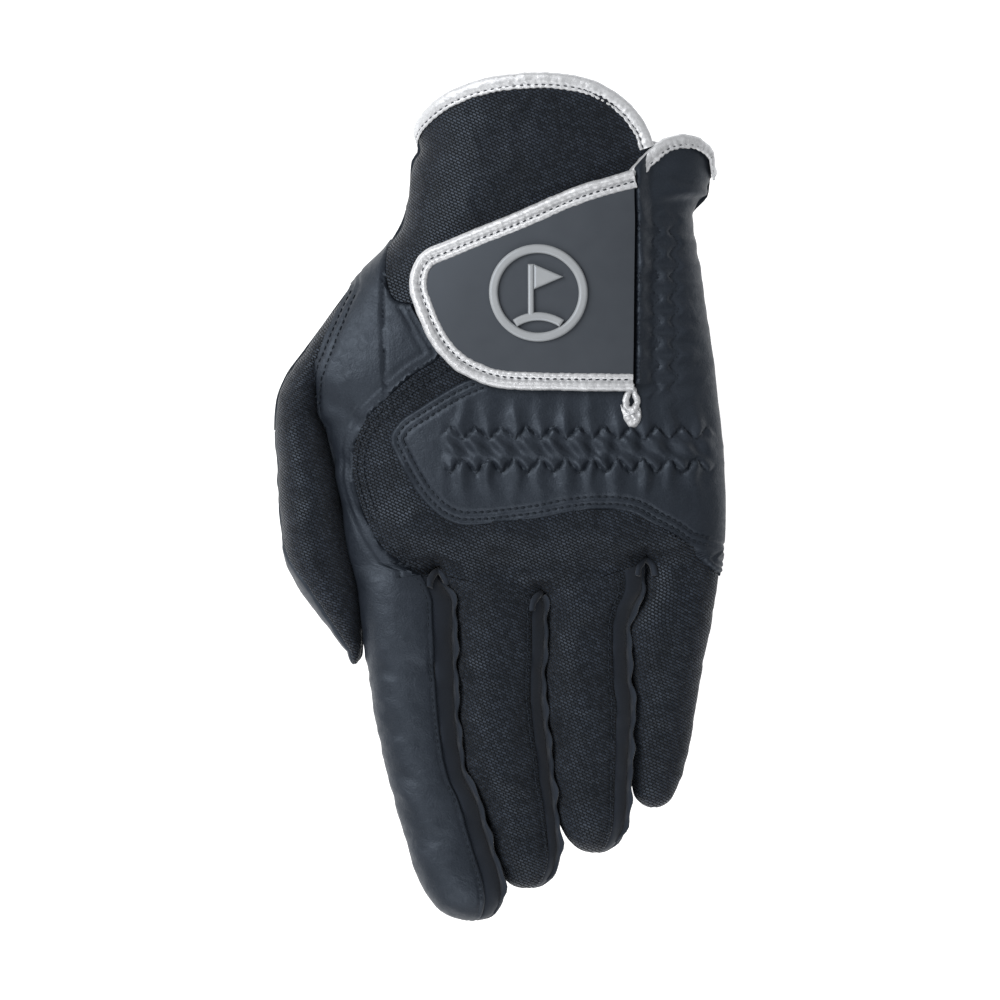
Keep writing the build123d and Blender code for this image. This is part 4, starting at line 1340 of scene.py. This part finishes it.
def seam_threads():
    """Rows of stitching over the hand's panels."""
    rows = []

    def sew(name, chart, level, **size):
        place, normals = skin.at(chart)
        rows.append(stitches(name, place + normals * level(place)[:, None], normals, **size))

    def patch_row(place):
        return 0.8 + folds(place, 0.8) + knuckle_gathers(place) * 0.6

    for k, (line, distances, level) in enumerate((
            (radial_chart[::-1], (-1.4, -3.4), lambda place: 0.62 + folds(place, 0.9)),
            (patch_chart, (1.9, 3.7), patch_row),
            (thumb_seam_chart, (1.4, 3.6), lambda place: 0.6 + folds(place, 0.9)))):
        for j, distance in enumerate(distances):
            moved = even_path(shifted(line, distance), 0.5)
            moved = moved[(skin.at(moved)[0][:, 0] < 54.5) & (moved[:, 1] > -17.0)]
            sew("row_%d_%d" % (k, j), moved, level, length=1.2)
    x, y = np.arange(-14.5, 54.0, 0.25), np.arange(30.0, 72.0, 0.25)
    for first in (True, False):
        line = even_path(skin.chart(np.column_stack([x, knuckle_thread(x, first)])), 0.4)
        sew("zigzag_%d" % first, line, lambda place: patch_leather(place) + 0.12, pitch=1.55, length=1.05,
            radius=0.14)
    for first in (True, False):
        line = even_path(skin.chart(np.column_stack([side_thread(y, first), y])), 0.4)
        sew("side_zigzag_%d" % first, line, lambda place: side_leather(place) + 0.08, pitch=1.25, length=0.95,
            radius=0.14)
    return join(rows, "seam_threads")


# ---------------------------------------------------------------- assembly
def own_node(piece):
    """The CAD node that a piece is named after; Blender numbers a name used twice."""
    return piece.name.split(".")[0]


put(palm_panel(), "hand", "leather_black", "palm_panel")
put(cuff_panel(), "hand", "mesh_black", "cuff_panel")
put(back_panel(), "hand", "mesh_black", "back_panel")
for leather_piece in (radial_panel(), knuckle_patch(), side_panel()):
    put(leather_piece, "hand", "leather_black", own_node(leather_piece))
put(seam_threads(), "hand", "leather_black")
for band, thread_row in (cuff_binding(), side_binding()):
    put(band, "hand", "binding_silver", own_node(band))
    put(thread_row, "hand", "leather_black")
put(slit_binding(), "hand", "binding_silver", "slit_binding")
put(slit_loop(), "hand", "binding_silver", "slit_loop")
put(tape_patch("loop_patch", 0.95, 0.7, 0.0), "hand", "hook_loop_black", "loop_patch")
for strip in elastic_strips():
    put(strip, "hand", "elastic_black", own_node(strip))
build_fingers()
for number, (x, y) in enumerate(CROTCH_LINE[2:5]):
    put(crotch_arch("crotch_arch_%d" % number, x, y), "hand", "lycra_black")
build_thumb()
put(tab_panel(), "tab", "rubber_grey", "tab_panel")
piping, piping_row = tab_piping()
put(piping, "tab", "binding_silver", "tab_piping")
put(piping_row, "tab", "leather_black")
put(tab_emblem(), "tab", "emblem_grey", "tab_emblem")
put(tape_patch("tab_hook_patch", 1.75, 0.6, 1.0), "tab", "hook_loop_black", "tab_hook_patch")
backing = tab_backing()
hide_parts("tab_backing")
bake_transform(backing)


# ---------------------------------------------------------------- floor, light and camera
FLOOR_HEIGHT = -0.1         # 100 mm below the glove, which floats over it
FLOOR_HALF = 3.0
CAMERA_DISTANCE = 1.8
SENSOR_WIDTH = 36.0
FRAME_WIDTH = 0.26          # the picture's width at the glove's middle height


def show(name, data, place=(0, 0, 0)):
    """An object for a mesh, a lamp or a camera."""
    made = bpy.data.objects.new(name, data)
    made.location = place
    bpy.context.scene.collection.objects.link(made)
    return made


def floor():
    mesh = bpy.data.meshes.new("floor")
    corners = [(-FLOOR_HALF, -FLOOR_HALF), (FLOOR_HALF, -FLOOR_HALF), (FLOOR_HALF, FLOOR_HALF),
               (-FLOOR_HALF, FLOOR_HALF)]
    mesh.from_pydata([(x, y, FLOOR_HEIGHT) for x, y in corners], [], [(0, 1, 2, 3)])
    paint = bpy.data.materials.new("pale_floor")
    paint.use_nodes = True
    surface = paint.node_tree.nodes["Principled BSDF"].inputs
    for key, value in {"Base Color": (0.97, 0.97, 0.97, 1), "Roughness": 0.9, "Emission Color": (1, 1, 1, 1),
                       "Emission Strength": 0.45}.items():
        surface[key].default_value = value
    mesh.materials.append(paint)
    show("floor", mesh)


def area_light(name, place, size, power):
    """A soft rectangular lamp that looks at the glove."""
    light = bpy.data.lights.new(name, "AREA")
    light.shape = "RECTANGLE"
    light.size, light.size_y = size
    light.energy = power
    show(name, light, place).rotation_euler = (-Vector(place)).to_track_quat("-Z", "Y").to_euler()


floor()
area_light("key", (-1.0, 0.5, 1.1), (1.3, 1.0), 25.0)
area_light("fill", (0.9, 0.5, 1.2), (1.2, 1.0), 3.5)
area_light("front", (-0.2, -1.1, 0.9), (1.2, 0.8), 10.0)
world = bpy.data.worlds.new("studio")
world.use_nodes = True
sky = world.node_tree.nodes["Background"].inputs
sky["Color"].default_value = (1, 1, 1, 1)
sky["Strength"].default_value = 0.2
bpy.context.scene.world = world
bpy.context.scene.view_settings.view_transform = "Standard"
camera_data = bpy.data.cameras.new("camera")
camera_data.sensor_width = SENSOR_WIDTH
camera_data.lens = SENSOR_WIDTH * CAMERA_DISTANCE / FRAME_WIDTH
bpy.context.scene.camera = show("camera", camera_data, (0.0, 0.0, CAMERA_DISTANCE + 0.02))
